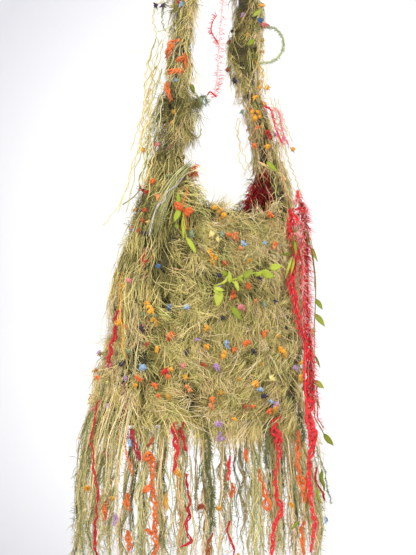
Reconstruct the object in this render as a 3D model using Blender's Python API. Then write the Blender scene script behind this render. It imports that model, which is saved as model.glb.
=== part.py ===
# Shaggy yarn shoulder bag with long fringe, hanging from the top of its strap loop.
# Metres, +Z up, +X towards the right of the front panel, which faces -Y.
# The origin is the underside of the strap's highest point, where the bag hangs.
import math

import bmesh
import bpy
import numpy as np
from mathutils import Vector, noise


def table(columns, *rows):
    """Rows of a table, each by the names of its columns."""
    return [dict(zip(columns.split(), row)) for row in rows]


# Driving dimensions
GAP = 0.0003  # between pieces that are sewn together
WALL = 0.012  # worked wall with its pile
EDGE_ROUND = 0.003  # rounding of the walls' edges
CORNER_POWER = 3.2  # superellipse power of the pouch's outline
BASE_Z = -0.828  # underside of the pouch
SEAM_DEGREES = 0.25  # half the gap between two walls
COLUMN_PITCH = 0.0140  # between the columns of a wall's faces
WALL_ROWS = 14
LUMP = 0.0045  # height of the pile's lumps
LUMP_SIZE = 0.030
LOCK = 0.012  # height of the locks along the mouth
EAR_Z = -0.423  # the mouth's edge carries no locks above this, where the strap is sewn on
STRAP_TOP_RADIUS = 0.037  # centre line of the strap over its support
STRAP_TOP = {"width": 0.052, "thick": 0.0115}
FRINGE_PITCH = 0.0072
STRIP = 0.007  # height and depth of the strips that carry the fringe
STRIP_INSET = 0.0080  # middle of the strips, in from the pouch's outline
STRAND = 0.0042
ROOT_SHARE = 0.60  # share of the pitch that a strand's root takes
FLARE = 0.046  # how far the longest strands stand out past the pouch's outline
FLARE_DROP = 0.060  # drop in which most of the flare is reached
OVERLAY_LEAD = 0.050  # height over the base from which the strands over the walls flare

# Pouch outline by height
OUTLINE = table(
    "z centre half_width half_depth",
    (-0.400, 0.000, 0.088, 0.035),
    (-0.455, 0.000, 0.103, 0.038),
    (-0.511, -0.001, 0.122, 0.042),
    (-0.586, -0.009, 0.143, 0.048),
    (-0.694, -0.021, 0.149, 0.060),
    (-0.780, -0.032, 0.155, 0.073),
    (-0.830, -0.036, 0.158, 0.080),
)

# Height of the mouth's edge. 0 degrees is the right ear, 180 the left ear, 270 the middle of the front
RIM = table(
    "degrees z",
    (0, -0.422),
    (31, -0.422),
    (50, -0.480),
    (90, -0.522),
    (130, -0.476),
    (149, -0.408),
    (211, -0.408),
    (232, -0.452),
    (256, -0.498),
    (278, -0.513),
    (305, -0.508),
    (322, -0.490),
    (331, -0.422),
    (360, -0.422),
)

# Soft troughs down the walls: where, from and to what height, how deep, how wide
FOLDS = table(
    "degrees top bottom depth spread",
    (215, -0.420, -0.720, 0.013, 10),
    (246, -0.500, -0.640, 0.006, 9),
    (272, -0.620, -0.800, 0.005, 8),
    (300, -0.540, -0.720, 0.006, 10),
    (326, -0.480, -0.700, 0.010, 10),
    (182, -0.520, -0.780, 0.008, 12),
    (134, -0.450, -0.720, 0.011, 10),
    (75, -0.540, -0.700, 0.006, 9),
    (104, -0.600, -0.780, 0.006, 8),
    (46, -0.450, -0.700, 0.011, 10),
)

# The pouch's walls and the angles of their seams
WALLS = table(
    "name first last",
    ("side_right", -41, 41),
    ("back_panel", 41, 139),
    ("side_left", 139, 221),
    ("front_panel", 221, 319),
)

# Strap from the left ear to the top and from there to the right ear. It is turned about its own run
STRAP_COLUMNS = "x y z width thick turn"
STRAP_LEFT = table(
    STRAP_COLUMNS,
    (-0.0835, 0.000, -0.4077, 0.044, 0.0115, 0),
    (-0.0805, 0.000, -0.3970, 0.048, 0.016, 2),
    (-0.0750, -0.001, -0.3760, 0.050, 0.018, 10),
    (-0.0700, -0.002, -0.3400, 0.050, 0.018, 8),
    (-0.0680, 0.000, -0.2900, 0.052, 0.018, -8),
    (-0.0650, 0.000, -0.2350, 0.054, 0.017, -10),
    (-0.0600, 0.000, -0.1830, 0.052, 0.017, -6),
    (-0.0500, 0.000, -0.1100, 0.052, 0.015, 0),
    (-0.0410, 0.000, -0.0600, 0.052, 0.013, 0),
)
STRAP_RIGHT = table(
    STRAP_COLUMNS,
    (0.0410, 0.000, -0.0600, 0.052, 0.013, 0),
    (0.0480, 0.000, -0.1100, 0.050, 0.015, -2),
    (0.0520, 0.000, -0.1830, 0.048, 0.016, -12),
    (0.0500, 0.002, -0.2300, 0.046, 0.017, -32),
    (0.0460, 0.002, -0.2650, 0.046, 0.018, -75),
    (0.0500, 0.000, -0.3000, 0.048, 0.018, -122),
    (0.0640, 0.000, -0.3400, 0.050, 0.018, -160),
    (0.0760, 0.000, -0.3780, 0.050, 0.018, -175),
    (0.0835, 0.000, -0.4090, 0.048, 0.016, -180),
    (0.0870, 0.000, -0.4217, 0.044, 0.0115, -180),
)

# Fringe under the base: angles of its ends, shortest and longest strand, seed
FRINGES = table(
    "name first last short long seed",
    ("fringe_right", -38, 38, 0.190, 0.255, 41),
    ("fringe_back", 44, 136, 0.200, 0.262, 37),
    ("fringe_left", 142, 218, 0.190, 0.255, 23),
    ("fringe_front", 224, 316, 0.200, 0.262, 11),
)

# Strands over the walls: angles, height of the strip, pitch, lengths, width, stand-off, finish, seed
OVERLAYS = table(
    "name first last z pitch short long width off finish_name seed",
    ("side_fringe_left", 166, 212, -0.450, 0.0076, 0.540, 0.620, 0.0036, 0.015, "fringe", 5),
    ("side_fringe_right", -12, 31, -0.450, 0.0076, 0.540, 0.620, 0.0036, 0.015, "fringe", 7),
    ("ribbon_tassel", 321, 339, -0.502, 0.0062, 0.490, 0.540, 0.0056, 0.019, "ribbon", 3),
)
OVERLAY_CLEAR = 0.0018  # between an overlay's strip and the wall's lumps
OVERLAY_HEAD = 0.045  # drop from the strip to where its strands stand off in full
# Heights over and under the base where an overlay's strand bends
OVERLAY_BENDS = (0.240, 0.120, 0.030, -0.045, -0.140)
FRINGE_BENDS = (-0.045, -0.140)

# Loose yarns of the strap
LADDER_YARN = table(
    "x y z",
    (-0.0200, -0.0315, 0.0010),
    (-0.0185, -0.0330, -0.0200),
    (-0.0120, -0.0340, -0.0600),
    (0.0010, -0.0340, -0.1300),
    (-0.0010, -0.0340, -0.1900),
    (-0.0040, -0.0330, -0.2500),
    (-0.0100, -0.0330, -0.3050),
    (-0.0190, -0.0330, -0.3450),
)
YARN_LOOP = table(
    "x y z",
    (0.0590, -0.0250, -0.2150),
    (0.0760, -0.0290, -0.2190),
    (0.0930, -0.0300, -0.2230),
    (0.1030, -0.0300, -0.2400),
    (0.1000, -0.0290, -0.2620),
    (0.0880, -0.0270, -0.2760),
    (0.0720, -0.0220, -0.2800),
    (0.0580, -0.0170, -0.2780),
)

# Leaf ribbons. Those on the front run by x and z; the one at the right corner by angle, z and stand-off
VINE_FRONT = table(
    "x z",
    (-0.022, -0.638),
    (-0.010, -0.624),
    (0.008, -0.612),
    (0.030, -0.606),
    (0.053, -0.602),
    (0.071, -0.590),
)
VINE_LEFT = table(
    "x z",
    (-0.090, -0.508),
    (-0.090, -0.526),
    (-0.080, -0.547),
    (-0.065, -0.574),
)
VINE_RIGHT = table(
    "degrees z off",
    (345, -0.500, 0.006),
    (338, -0.535, 0.028),
    (333, -0.597, 0.029),
    (333, -0.674, 0.036),
    (333, -0.736, 0.044),
    (333, -0.806, 0.054),
    (333, -0.880, 0.064),
)
VINE_STEM = 0.0016
VINE_OFF = 0.0035  # stem's centre off the wall
LEAF_LENGTH = 0.015
LEAF_WIDTH = 0.0085

# Bow at the upper left of the front
BOW = {
    "x": -0.082,
    "z": -0.496,
    "off": 0.003,
    "half_length": 0.013,
    "half_height": 0.0075,
    "knot": 0.003,
    "thick": 0.004,
}

# Base colour and roughness
FINISHES = {
    "pouch": ((0.33, 0.31, 0.12), 0.92),
    "strap": ((0.30, 0.28, 0.11), 0.92),
    "fringe": ((0.42, 0.41, 0.20), 0.90),
    "ribbon": ((0.72, 0.05, 0.10), 0.75),
    "ladder": ((0.78, 0.20, 0.28), 0.75),
    "leaf": ((0.42, 0.68, 0.08), 0.60),
    "boucle": ((0.38, 0.46, 0.25), 0.90),
    "bow": ((0.90, 0.22, 0.06), 0.70),
}


def column(rows, name):
    """One named column of a table, as an array."""
    return np.array([row[name] for row in rows], float)


def smooth(at, places, values):
    """A smooth curve through values at increasing places, read at one or more places."""
    slopes = np.gradient(values, places)
    at = np.clip(at, places[0], places[-1])
    i = np.clip(np.searchsorted(places, at) - 1, 0, len(places) - 2)
    span = places[i + 1] - places[i]
    t = (at - places[i]) / span
    rise = 3 * t**2 - 2 * t**3
    lean = span * (t * (1 - t) ** 2 * slopes[i] - t**2 * (1 - t) * slopes[i + 1])
    return values[i] * (1 - rise) + values[i + 1] * rise + lean


def route(rows, count):
    """Places along a smooth curve through a table's rows, one dictionary for each place."""
    index = np.arange(len(rows), dtype=float)
    at = np.linspace(0, len(rows) - 1, count)
    curves = {name: smooth(at, index, column(rows, name)) for name in rows[0]}
    return [{name: float(curve[i]) for name, curve in curves.items()} for i in range(count)]


def outline_at(z):
    """Centre, half width and half depth of the pouch at a height."""
    depths = -column(OUTLINE, "z")
    return [smooth(-z, depths, column(OUTLINE, name)) for name in ("centre", "half_width", "half_depth")]


def rim_at(degrees):
    """Height of the mouth's edge at an angle."""
    return float(np.interp(degrees % 360, column(RIM, "degrees"), column(RIM, "z")))


def fold_at(degrees, z):
    """How far the troughs draw the wall in at an angle and a height."""
    drawn = 0.0
    for fold in FOLDS:
        along = (fold["top"] - z) / (fold["top"] - fold["bottom"])
        aside = ((degrees - fold["degrees"] + 180) % 360 - 180) / fold["spread"]
        if 0 < along < 1:
            drawn += fold["depth"] * math.sin(math.pi * along) * math.exp(-(aside**2))
    return drawn


def outline_point(degrees, z, off=0.0):
    """A point on the pouch's smooth outline at an angle and a height, moved out by off."""
    centre, half_width, half_depth = outline_at(z)
    c, s = math.cos(math.radians(degrees)), math.sin(math.radians(degrees))
    power = 2 / CORNER_POWER
    x = centre + (half_width + off) * math.copysign(abs(c) ** power, c)
    y = (half_depth + off) * math.copysign(abs(s) ** power, s)
    return Vector((x, y, z))


def lump(place):
    """Height of the pile's lumps at a place, between about -1 and 1."""
    return noise.noise(place / LUMP_SIZE) * 1.6


def wall_point(degrees, z, off=0.0):
    """A point on the walls' outer face with its lumps and troughs, moved out by off."""
    return outline_point(degrees, z, off - fold_at(degrees, z) + LUMP * lump(outline_point(degrees, z)))


def front_degrees(x, z):
    """The angle of a place across the front."""
    centre, half_width, _ = outline_at(z)
    share = (x - centre) / half_width
    return 360 - math.degrees(math.acos(math.copysign(abs(share) ** (CORNER_POWER / 2), share)))


def hanging_point(degrees, z, off, lead=0.0):
    """Where a strand passes a height. From lead over the base the strands flare, and sway together."""
    drop = max(0.0, BASE_Z + lead - z)
    across = abs(math.cos(math.radians(degrees)))
    flare = FLARE * (0.35 + 0.65 * across) * (1 - math.exp(-drop / FLARE_DROP))
    sway = 0.006 * math.sin(drop * 30) * math.sin(math.radians(degrees * 4))
    place = outline_point(degrees, max(z, BASE_Z), off + flare)
    return Vector((place.x + sway, place.y + sway * 0.5, z))


def evenly(first, last, pitch):
    """Angles between first and last that part the base's outline into even lengths near the pitch."""
    fine = np.linspace(first, last, 400)
    points = np.array([outline_point(d, BASE_Z) for d in fine])
    run = np.concatenate([[0], np.cumsum(np.linalg.norm(np.diff(points, axis=0), axis=1))])
    return np.interp(np.linspace(0, run[-1], round(run[-1] / pitch) + 1), run, fine)


def material(name):
    """The piece's plain finish."""
    colour, roughness = FINISHES[name]
    made = bpy.data.materials.get(name) or bpy.data.materials.new(name)
    made.use_nodes = True
    shader = made.node_tree.nodes["Principled BSDF"]
    shader.inputs["Base Color"].default_value = (*colour, 1)
    shader.inputs["Roughness"].default_value = roughness
    shader.inputs["Metallic"].default_value = 0
    return made


def finish(bm, name, finish_name):
    """Makes the node's object from its bmesh."""
    bmesh.ops.recalc_face_normals(bm, faces=bm.faces)
    mesh = bpy.data.meshes.new(name)
    bm.to_mesh(mesh)
    bm.free()
    mesh.materials.append(material(finish_name))
    mesh.shade_smooth()
    mesh.set_sharp_from_angle(angle=math.radians(50))
    made = bpy.data.objects.new(name, mesh)
    bpy.context.scene.collection.objects.link(made)


def skin(bm, rings):
    """Joins rings of equal length into a closed tube and returns its side faces, ring by ring."""
    rows = [[bm.verts.new(point) for point in ring] for ring in rings]
    sides = []
    for here, onward in zip(rows, rows[1:]):
        count = len(here)
        nexts = [(i + 1) % count for i in range(count)]
        sides.append([bm.faces.new((here[i], here[j], onward[j], onward[i])) for i, j in enumerate(nexts)])
    bm.faces.new(rows[0][::-1])
    bm.faces.new(rows[-1])
    return sides


def grow(bm, face, steps):
    """Pulls a face out into a branch. Each step has a section's centre, two axes and a scale along each."""
    start = face.calc_center_median()
    corners = [vert.co - start for vert in face.verts]
    for centre, axes, scales in steps:
        face = bmesh.ops.extrude_discrete_faces(bm, faces=[face])["faces"][0]
        for vert, corner in zip(face.verts, corners):
            vert.co = centre + sum((a * corner.dot(a) * s for a, s in zip(axes, scales)), Vector())


def wall_angles(first, last):
    """Angles of a wall's columns of faces, from seam to seam."""
    return evenly(first + SEAM_DEGREES, last - SEAM_DEGREES, COLUMN_PITCH)


def make_wall(name, first, last):
    """One wall from seam to seam, with lumps, troughs and locks along its part of the mouth."""
    bm = bmesh.new()
    degrees = wall_angles(first, last)
    rounding = EDGE_ROUND / 2
    sections = []
    for d in degrees:
        rim = rim_at(d)
        heights = np.linspace(rim, BASE_Z + 2 * EDGE_ROUND, WALL_ROWS)
        outer = [wall_point(d, z) for z in heights]
        outer[0] = outline_point(d, rim, -rounding - fold_at(d, rim))
        outer.append(outline_point(d, BASE_Z, -EDGE_ROUND))
        inner = [outline_point(d, z, -WALL - 0.6 * fold_at(d, z)) for z in heights]
        inner.append(outline_point(d, BASE_Z, -WALL))
        sections.append((outer, inner))
    rows = len(sections[0][0])
    outside = [[bm.verts.new(point) for point in outer] for outer, _ in sections]
    inside = [[bm.verts.new(point) for point in inner] for _, inner in sections]
    mouth = []
    for i in range(len(sections) - 1):
        for j in range(rows - 1):
            bm.faces.new((outside[i][j], outside[i][j + 1], outside[i + 1][j + 1], outside[i + 1][j]))
            bm.faces.new((inside[i][j], inside[i + 1][j], inside[i + 1][j + 1], inside[i][j + 1]))
        mouth.append(bm.faces.new((outside[i][0], outside[i + 1][0], inside[i + 1][0], inside[i][0])))
        bm.faces.new((outside[i][-1], inside[i][-1], inside[i + 1][-1], outside[i + 1][-1]))
    for i, turned in ((0, False), (-1, True)):
        for j in range(rows - 1):
            corners = (outside[i][j], inside[i][j], inside[i][j + 1], outside[i][j + 1])
            bm.faces.new(corners[::-1] if turned else corners)
    for i, face in enumerate(mouth):
        under_strap = max(rim_at(degrees[i]), rim_at(degrees[i + 1])) >= EAR_Z
        if not under_strap and i % 2:
            height = LOCK * (0.8 + 0.3 * math.sin(i * 2.4))
            bmesh.ops.poke(bm, faces=[face], offset=height, center_mode="MEAN")
    finish(bm, name, "pouch")


def make_base():
    """Flat bottom between the walls."""
    degrees = [d for wall in WALLS for d in wall_angles(wall["first"], wall["last"])]
    bm = bmesh.new()
    inset = -WALL - 3 * GAP
    skin(bm, [[outline_point(d, z, inset) for d in degrees] for z in (BASE_Z, BASE_Z + WALL)])
    finish(bm, "base", "pouch")


def make_strap():
    """The strap's loop: a flattened section carried along its run, with locks along both edges."""
    arc_steps, around, stations = 9, 10, 54
    lowest = STRAP_TOP["thick"] / 2 - STRAP_TOP_RADIUS
    arc = []
    for step in range(1, arc_steps):
        angle = math.pi * (1 - step / arc_steps)
        x, z = STRAP_TOP_RADIUS * math.cos(angle), lowest + STRAP_TOP_RADIUS * math.sin(angle)
        arc += table(STRAP_COLUMNS, (x, 0, z, STRAP_TOP["width"], STRAP_TOP["thick"], 0))
    run = route(STRAP_LEFT + arc + STRAP_RIGHT, stations)
    line = [Vector((at["x"], at["y"], at["z"])) for at in run]
    bm = bmesh.new()
    rings = []
    for i, centre in enumerate(line):
        at_end = i in (0, stations - 1)
        onward = line[min(i + 1, stations - 1)] - line[max(i - 1, 0)]
        if at_end:
            onward = Vector((0, 0, 1 if i == 0 else -1))
        onward.normalize()
        flat = onward.cross(Vector((0, 1, 0))).normalized()
        turn = math.radians(run[i]["turn"])
        across = Vector((0, 1, 0)) * math.cos(turn) + flat * math.sin(turn)
        out = onward.cross(across).normalized()
        ring = []
        for k in range(around):
            angle = 2 * math.pi * k / around
            c, s = math.cos(angle), math.sin(angle)
            side = math.copysign(abs(c) ** 0.8, c) * run[i]["width"] / 2
            face = math.copysign(abs(s) ** 0.8, s) * run[i]["thick"] / 2
            place = centre + across * side + out * face
            over_support = place.z > -0.03
            swell = 0 if at_end or over_support else 0.5 * LUMP * lump(place)
            ring.append(place + (place - centre).normalized() * swell)
        rings.append(ring)
    sides = skin(bm, rings)
    for i, band in enumerate(sides):
        edge = band[0] if i % 2 else band[around // 2]
        if 3 < i < stations - 5 and i % 3:
            bmesh.ops.poke(bm, faces=[edge], offset=LOCK / 2, center_mode="MEAN")
    finish(bm, "strap", "strap")


def make_comb(name, finish_name, places, paths, height, width):
    """A strip with strands under it. Two places on the strip, each with its way out, bound each root."""
    bm = bmesh.new()
    down = Vector((0, 0, -height))
    rings = []
    for place, out in places:
        half = out * height / 2
        rings.append((place + half, place + half + down, place - half + down, place - half))
    sides = skin(bm, rings)
    axes = (Vector((1, 0, 0)), Vector((0, 1, 0)))
    for i, path in enumerate(paths):
        tapers = [1.0] * (len(path) - 2) + [0.9, 0.4]
        scales = [(width / height * taper,) * 2 for taper in tapers]
        grow(bm, sides[2 * i][1], [(place, axes, scale) for place, scale in zip(path, scales)])
    finish(bm, name, finish_name)


def comb_places(degrees, z, point, off):
    """Both edges of each strand's root along a strip, with the way out there."""
    halves = np.gradient(degrees) * ROOT_SHARE / 2
    found = []
    for edge in np.stack([degrees - halves, degrees + halves], axis=1).ravel():
        here = point(edge, z - STRIP, off)
        out = (outline_point(edge, z, 0.01) - outline_point(edge, z)).normalized()
        found.append((Vector((*here.xy, z)), out))
    return found


def make_fringe(name, first, last, short, long, seed):
    """Strands of uneven length under the pouch's base."""
    rng = np.random.default_rng(seed)
    degrees = evenly(first, last, FRINGE_PITCH)
    top = BASE_Z - GAP
    paths = []
    for i, d in enumerate(degrees):
        heights = [BASE_Z + bend for bend in FRINGE_BENDS] + [top - STRIP - rng.uniform(short, long)]
        row = 0.0035 if i % 2 else -0.0035
        paths.append([hanging_point(d, z, row - STRIP_INSET) for z in heights])
    places = comb_places(degrees, top, outline_point, -STRIP_INSET)
    make_comb(name, "fringe", places, paths, STRIP, STRAND)


def make_overlay(name, first, last, z, pitch, short, long, width, off, finish_name, seed):
    """Long strands from a strip on the wall, hanging down over it and past the base."""
    rng = np.random.default_rng(seed)
    degrees = evenly(first, last, pitch)
    paths = []
    for d in degrees:
        first_bend = z - STRIP - OVERLAY_HEAD
        heights = [first_bend, *(BASE_Z + bend for bend in OVERLAY_BENDS), z - rng.uniform(short, long)]
        paths.append([hanging_point(d, height, off, OVERLAY_LEAD) for height in heights])
    places = comb_places(degrees, z, wall_point, STRIP / 2 + OVERLAY_CLEAR)
    make_comb(name, finish_name, places, paths, STRIP, width)


def along_line(line, size):
    """A four-sided yarn along a line of points, with its side faces."""
    bm = bmesh.new()
    rings = []
    for i, centre in enumerate(line):
        onward = (line[min(i + 1, len(line) - 1)] - line[max(i - 1, 0)]).normalized()
        side = onward.cross(Vector((0, 1, 0))).normalized()
        back = onward.cross(side).normalized()
        corners = ((1, 1), (1, -1), (-1, -1), (-1, 1))
        rings.append([centre + (side * a + back * b) * size / 2 for a, b in corners])
    return bm, skin(bm, rings)


def make_yarn(name, finish_name, rows, size, count):
    """A loose yarn along a table's places."""
    line = [Vector((at["x"], at["y"], at["z"])) for at in route(rows, count)]
    finish(along_line(line, size)[0], name, finish_name)


def make_vine(name, line, settle):
    """A thin stem with flat leaves on alternate sides. settle lays a leaf's points on what is behind them."""
    bm, sides = along_line(line, VINE_STEM)
    flat = Vector((0, 1, 0))
    for i in range(1, len(line) - 2, 2):
        onward = (line[i + 1] - line[i]).normalized()
        side = onward.cross(flat).normalized()
        sign = 1 if i % 4 == 1 else -1
        face = sides[i][0] if sign > 0 else sides[i][2]
        start = face.calc_center_median()
        heading = (side * sign + onward * 0.8).normalized() * LEAF_LENGTH
        spread = LEAF_WIDTH / (line[i + 1] - line[i]).length
        sections = ((0.18, 0.35, 0.8), (0.52, spread, 0.8), (1.0, 0.1, 0.4))
        grow(bm, face, [(settle(start + heading * far), (onward, flat), (w, t)) for far, w, t in sections])
    finish(bm, name, "leaf")


def on_front(place):
    """The point just off the front panel at a place's x and z."""
    return Vector((place.x, wall_point(front_degrees(place.x, place.z), place.z, VINE_OFF).y, place.z))


def front_line(rows, count):
    """Points just off the front panel, along a table's places across and up it."""
    return [on_front(Vector((at["x"], 0, at["z"]))) for at in route(rows, count)]


def corner_line(rows, count):
    """Points off the pouch's corner, along a table's angles, heights and stand-offs."""
    line = []
    for at in route(rows, count):
        over_base = outline_point(at["degrees"], max(at["z"], BASE_Z), at["off"])
        line.append(Vector((*over_base.xy, at["z"])))
    return line


def make_bow():
    """A flat bow tie outline with its knot in the middle, on the front panel."""
    steps = 6
    bm = bmesh.new()
    rings = []
    for i in range(-steps, steps + 1):
        share = abs(i) / steps
        swell = math.sin(math.pi / 2 * min(1, share * 1.15))
        height = BOW["knot"] + (BOW["half_height"] - BOW["knot"]) * swell
        height *= 0.55 if share == 1 else 1
        x, z = BOW["x"] + BOW["half_length"] * i / steps, BOW["z"]
        near = min(wall_point(front_degrees(x, z + up), z + up, BOW["off"]).y for up in (-height, 0, height))
        far = near - BOW["thick"] * (1.3 if i == 0 else 1 - 0.4 * share)
        corners = ((near, height), (far, height), (far, -height), (near, -height))
        rings.append([Vector((x, y, z + up)) for y, up in corners])
    skin(bm, rings)
    finish(bm, "bow", "bow")


def main():
    for old in list(bpy.data.objects):
        bpy.data.objects.remove(old)
    for wall in WALLS:
        make_wall(**wall)
    make_base()
    make_strap()
    for fringe in FRINGES:
        make_fringe(**fringe)
    for overlay in OVERLAYS:
        make_overlay(**overlay)
    make_yarn("ladder_yarn", "ladder", LADDER_YARN, 0.004, 16)
    make_yarn("yarn_loop", "boucle", YARN_LOOP, 0.004, 18)
    make_vine("leaf_vine_right", corner_line(VINE_RIGHT, 24), Vector)
    make_vine("leaf_vine_front", front_line(VINE_FRONT, 14), on_front)
    make_vine("leaf_vine_left", front_line(VINE_LEFT, 8), on_front)
    make_bow()


main()
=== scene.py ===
import math

import bpy
import numpy as np
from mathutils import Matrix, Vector


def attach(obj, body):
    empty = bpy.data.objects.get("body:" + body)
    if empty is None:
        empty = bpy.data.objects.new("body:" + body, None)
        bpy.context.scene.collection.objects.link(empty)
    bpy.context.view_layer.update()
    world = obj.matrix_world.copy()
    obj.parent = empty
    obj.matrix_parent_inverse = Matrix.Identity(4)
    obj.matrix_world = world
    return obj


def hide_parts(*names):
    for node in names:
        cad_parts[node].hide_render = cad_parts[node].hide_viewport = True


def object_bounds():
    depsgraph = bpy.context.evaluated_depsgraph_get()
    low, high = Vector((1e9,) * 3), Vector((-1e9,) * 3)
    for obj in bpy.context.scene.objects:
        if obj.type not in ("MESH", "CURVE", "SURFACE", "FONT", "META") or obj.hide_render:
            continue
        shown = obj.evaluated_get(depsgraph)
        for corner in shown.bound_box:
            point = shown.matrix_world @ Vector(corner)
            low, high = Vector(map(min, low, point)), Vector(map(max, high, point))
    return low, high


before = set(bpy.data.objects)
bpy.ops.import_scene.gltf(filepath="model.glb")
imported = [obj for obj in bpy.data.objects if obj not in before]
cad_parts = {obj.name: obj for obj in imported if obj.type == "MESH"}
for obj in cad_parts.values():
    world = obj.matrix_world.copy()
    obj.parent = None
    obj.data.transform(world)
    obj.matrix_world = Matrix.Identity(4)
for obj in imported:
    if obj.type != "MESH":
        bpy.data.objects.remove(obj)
cadBox = [list(corner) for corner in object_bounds()]
print("frame loaded")

camera = {
    "azimuth": -28.0,  # degrees, to the left of the front
    "distance": 2.6,
    "across": -0.0163,  # what it aims at, in its own view
    "height": -0.608,
    "shownHeight": 0.860,  # metres in the frame at the bag
    "sensor": 36.0,
}
photo = {"scale": 0.00155, "originColumn": 218.5, "topRow": 115.0}  # metres per pixel, place of the origin

# The pouch, as in the CAD
baseZ = -0.828
middleZ = -0.68
cornerPower = 3.2
lumpHeight = 0.0045
flare = {"out": 0.046, "drop": 0.060, "overlayLead": 0.050, "least": 0.35, "sway": 0.004, "fold": 0.6}
outline = np.array(  # z, centre, half width, half depth
    [
        (-0.400, 0.000, 0.088, 0.035),
        (-0.455, 0.000, 0.103, 0.038),
        (-0.511, -0.001, 0.122, 0.042),
        (-0.586, -0.009, 0.143, 0.048),
        (-0.694, -0.021, 0.149, 0.060),
        (-0.780, -0.032, 0.155, 0.073),
        (-0.830, -0.036, 0.158, 0.080),
    ]
)
rim = np.array(  # degrees, z. 0 is the right ear, 270 the middle of the front
    [
        (0, -0.422),
        (31, -0.422),
        (50, -0.480),
        (90, -0.522),
        (130, -0.476),
        (149, -0.408),
        (211, -0.408),
        (232, -0.452),
        (256, -0.498),
        (278, -0.513),
        (305, -0.508),
        (322, -0.490),
        (331, -0.422),
        (360, -0.422),
    ]
)
folds = np.array(  # degrees, top, bottom, depth, spread
    [
        (215, -0.420, -0.720, 0.013, 10),
        (246, -0.500, -0.640, 0.006, 9),
        (272, -0.620, -0.800, 0.005, 8),
        (300, -0.540, -0.720, 0.006, 10),
        (326, -0.480, -0.700, 0.010, 10),
        (182, -0.520, -0.780, 0.008, 12),
        (134, -0.450, -0.720, 0.011, 10),
        (75, -0.540, -0.700, 0.006, 9),
        (104, -0.600, -0.780, 0.006, 8),
        (46, -0.450, -0.700, 0.011, 10),
    ]
)
walls = {"side_right": (-41, 41), "back_panel": (41, 139), "side_left": (139, 221), "front_panel": (221, 319)}

# The strap's run, as in the CAD: x, y, z, width, thickness, turn in degrees
strapLeft = [
    (-0.0835, 0.000, -0.4077, 0.044, 0.0115, 0),
    (-0.0805, 0.000, -0.3970, 0.048, 0.016, 2),
    (-0.0750, -0.001, -0.3760, 0.050, 0.018, 10),
    (-0.0700, -0.002, -0.3400, 0.050, 0.018, 8),
    (-0.0680, 0.000, -0.2900, 0.052, 0.018, -8),
    (-0.0650, 0.000, -0.2350, 0.054, 0.017, -10),
    (-0.0600, 0.000, -0.1830, 0.052, 0.017, -6),
    (-0.0500, 0.000, -0.1100, 0.052, 0.015, 0),
    (-0.0410, 0.000, -0.0600, 0.052, 0.013, 0),
]
strapRight = [
    (0.0410, 0.000, -0.0600, 0.052, 0.013, 0),
    (0.0480, 0.000, -0.1100, 0.050, 0.015, -2),
    (0.0520, 0.000, -0.1830, 0.048, 0.016, -12),
    (0.0500, 0.002, -0.2300, 0.046, 0.017, -32),
    (0.0460, 0.002, -0.2650, 0.046, 0.018, -75),
    (0.0500, 0.000, -0.3000, 0.048, 0.018, -122),
    (0.0640, 0.000, -0.3400, 0.050, 0.018, -160),
    (0.0760, 0.000, -0.3780, 0.050, 0.018, -175),
    (0.0835, 0.000, -0.4090, 0.048, 0.016, -180),
    (0.0870, 0.000, -0.4217, 0.044, 0.0115, -180),
]
strapTop = {"radius": 0.037, "width": 0.052, "thick": 0.0115, "steps": 9}
sectionPower = 0.8  # squares the corners of the strap's section


# Curves and places


def unit(vectors):
    return vectors / np.maximum(np.linalg.norm(vectors, axis=-1, keepdims=True), 1e-9)


# A smooth curve through values at increasing places: cubic pieces with the slopes of their neighbours
def smooth(at, places, values):
    slopes = np.gradient(values, places)
    at = np.clip(at, places[0], places[-1])
    i = np.clip(np.searchsorted(places, at) - 1, 0, len(places) - 2)
    span = places[i + 1] - places[i]
    t = (at - places[i]) / span
    rise = 3 * t**2 - 2 * t**3
    lean = span * (t * (1 - t) ** 2 * slopes[i] - t**2 * (1 - t) * slopes[i + 1])
    return values[i] * (1 - rise) + values[i + 1] * rise + lean


# Rows read along a smooth curve through all of them, at shares from 0 to 1
def through(rows, shares):
    rows = np.asarray(rows, float)
    at = np.asarray(shares) * (len(rows) - 1)
    index = np.arange(len(rows), dtype=float)
    return np.stack([smooth(at, index, rows[:, k]) for k in range(rows.shape[1])], axis=-1)


# Lengths run along a path up to each of its points
def runAlong(path):
    return np.cumsum(np.linalg.norm(np.diff(path, axis=0, prepend=path[:1]), axis=1))


# One or a few values spread evenly over a count of places
def spreadOver(values, count):
    values = np.atleast_1d(values)
    return np.interp(np.linspace(0, 1, count), np.linspace(0, 1, len(values)), values)


# How far the troughs draw the wall in: half a sine down each trough, a bell across it
def foldAt(degrees, z):
    drawn = np.zeros(np.broadcast(degrees, z).shape)
    for middle, top, bottom, depth, spread in folds:
        along = np.clip((top - z) / (top - bottom), 0, 1)
        aside = ((degrees - middle + 180) % 360 - 180) / spread
        drawn = drawn + depth * np.sin(np.pi * along) * np.exp(-(aside**2))
    return drawn


# Height of the mouth's edge at an angle
def rimAt(degrees):
    return np.interp(degrees % 360, rim[:, 0], rim[:, 1])


# The pouch's outline at a height: a superellipse, moved out by off
def outlinePlace(degrees, z, off=0.0):
    degrees, z, off = np.broadcast_arrays(np.asarray(degrees, float), z, off)
    centre, halfWidth, halfDepth = (smooth(-z, -outline[:, 0], outline[:, k]) for k in (1, 2, 3))
    c, s = np.cos(np.radians(degrees)), np.sin(np.radians(degrees))
    power = 2 / cornerPower
    x = centre + (halfWidth + off) * np.sign(c) * np.abs(c) ** power
    y = (halfDepth + off) * np.sign(s) * np.abs(s) ** power
    return np.stack([x, y, z + 0.0 * x], axis=-1)


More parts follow.
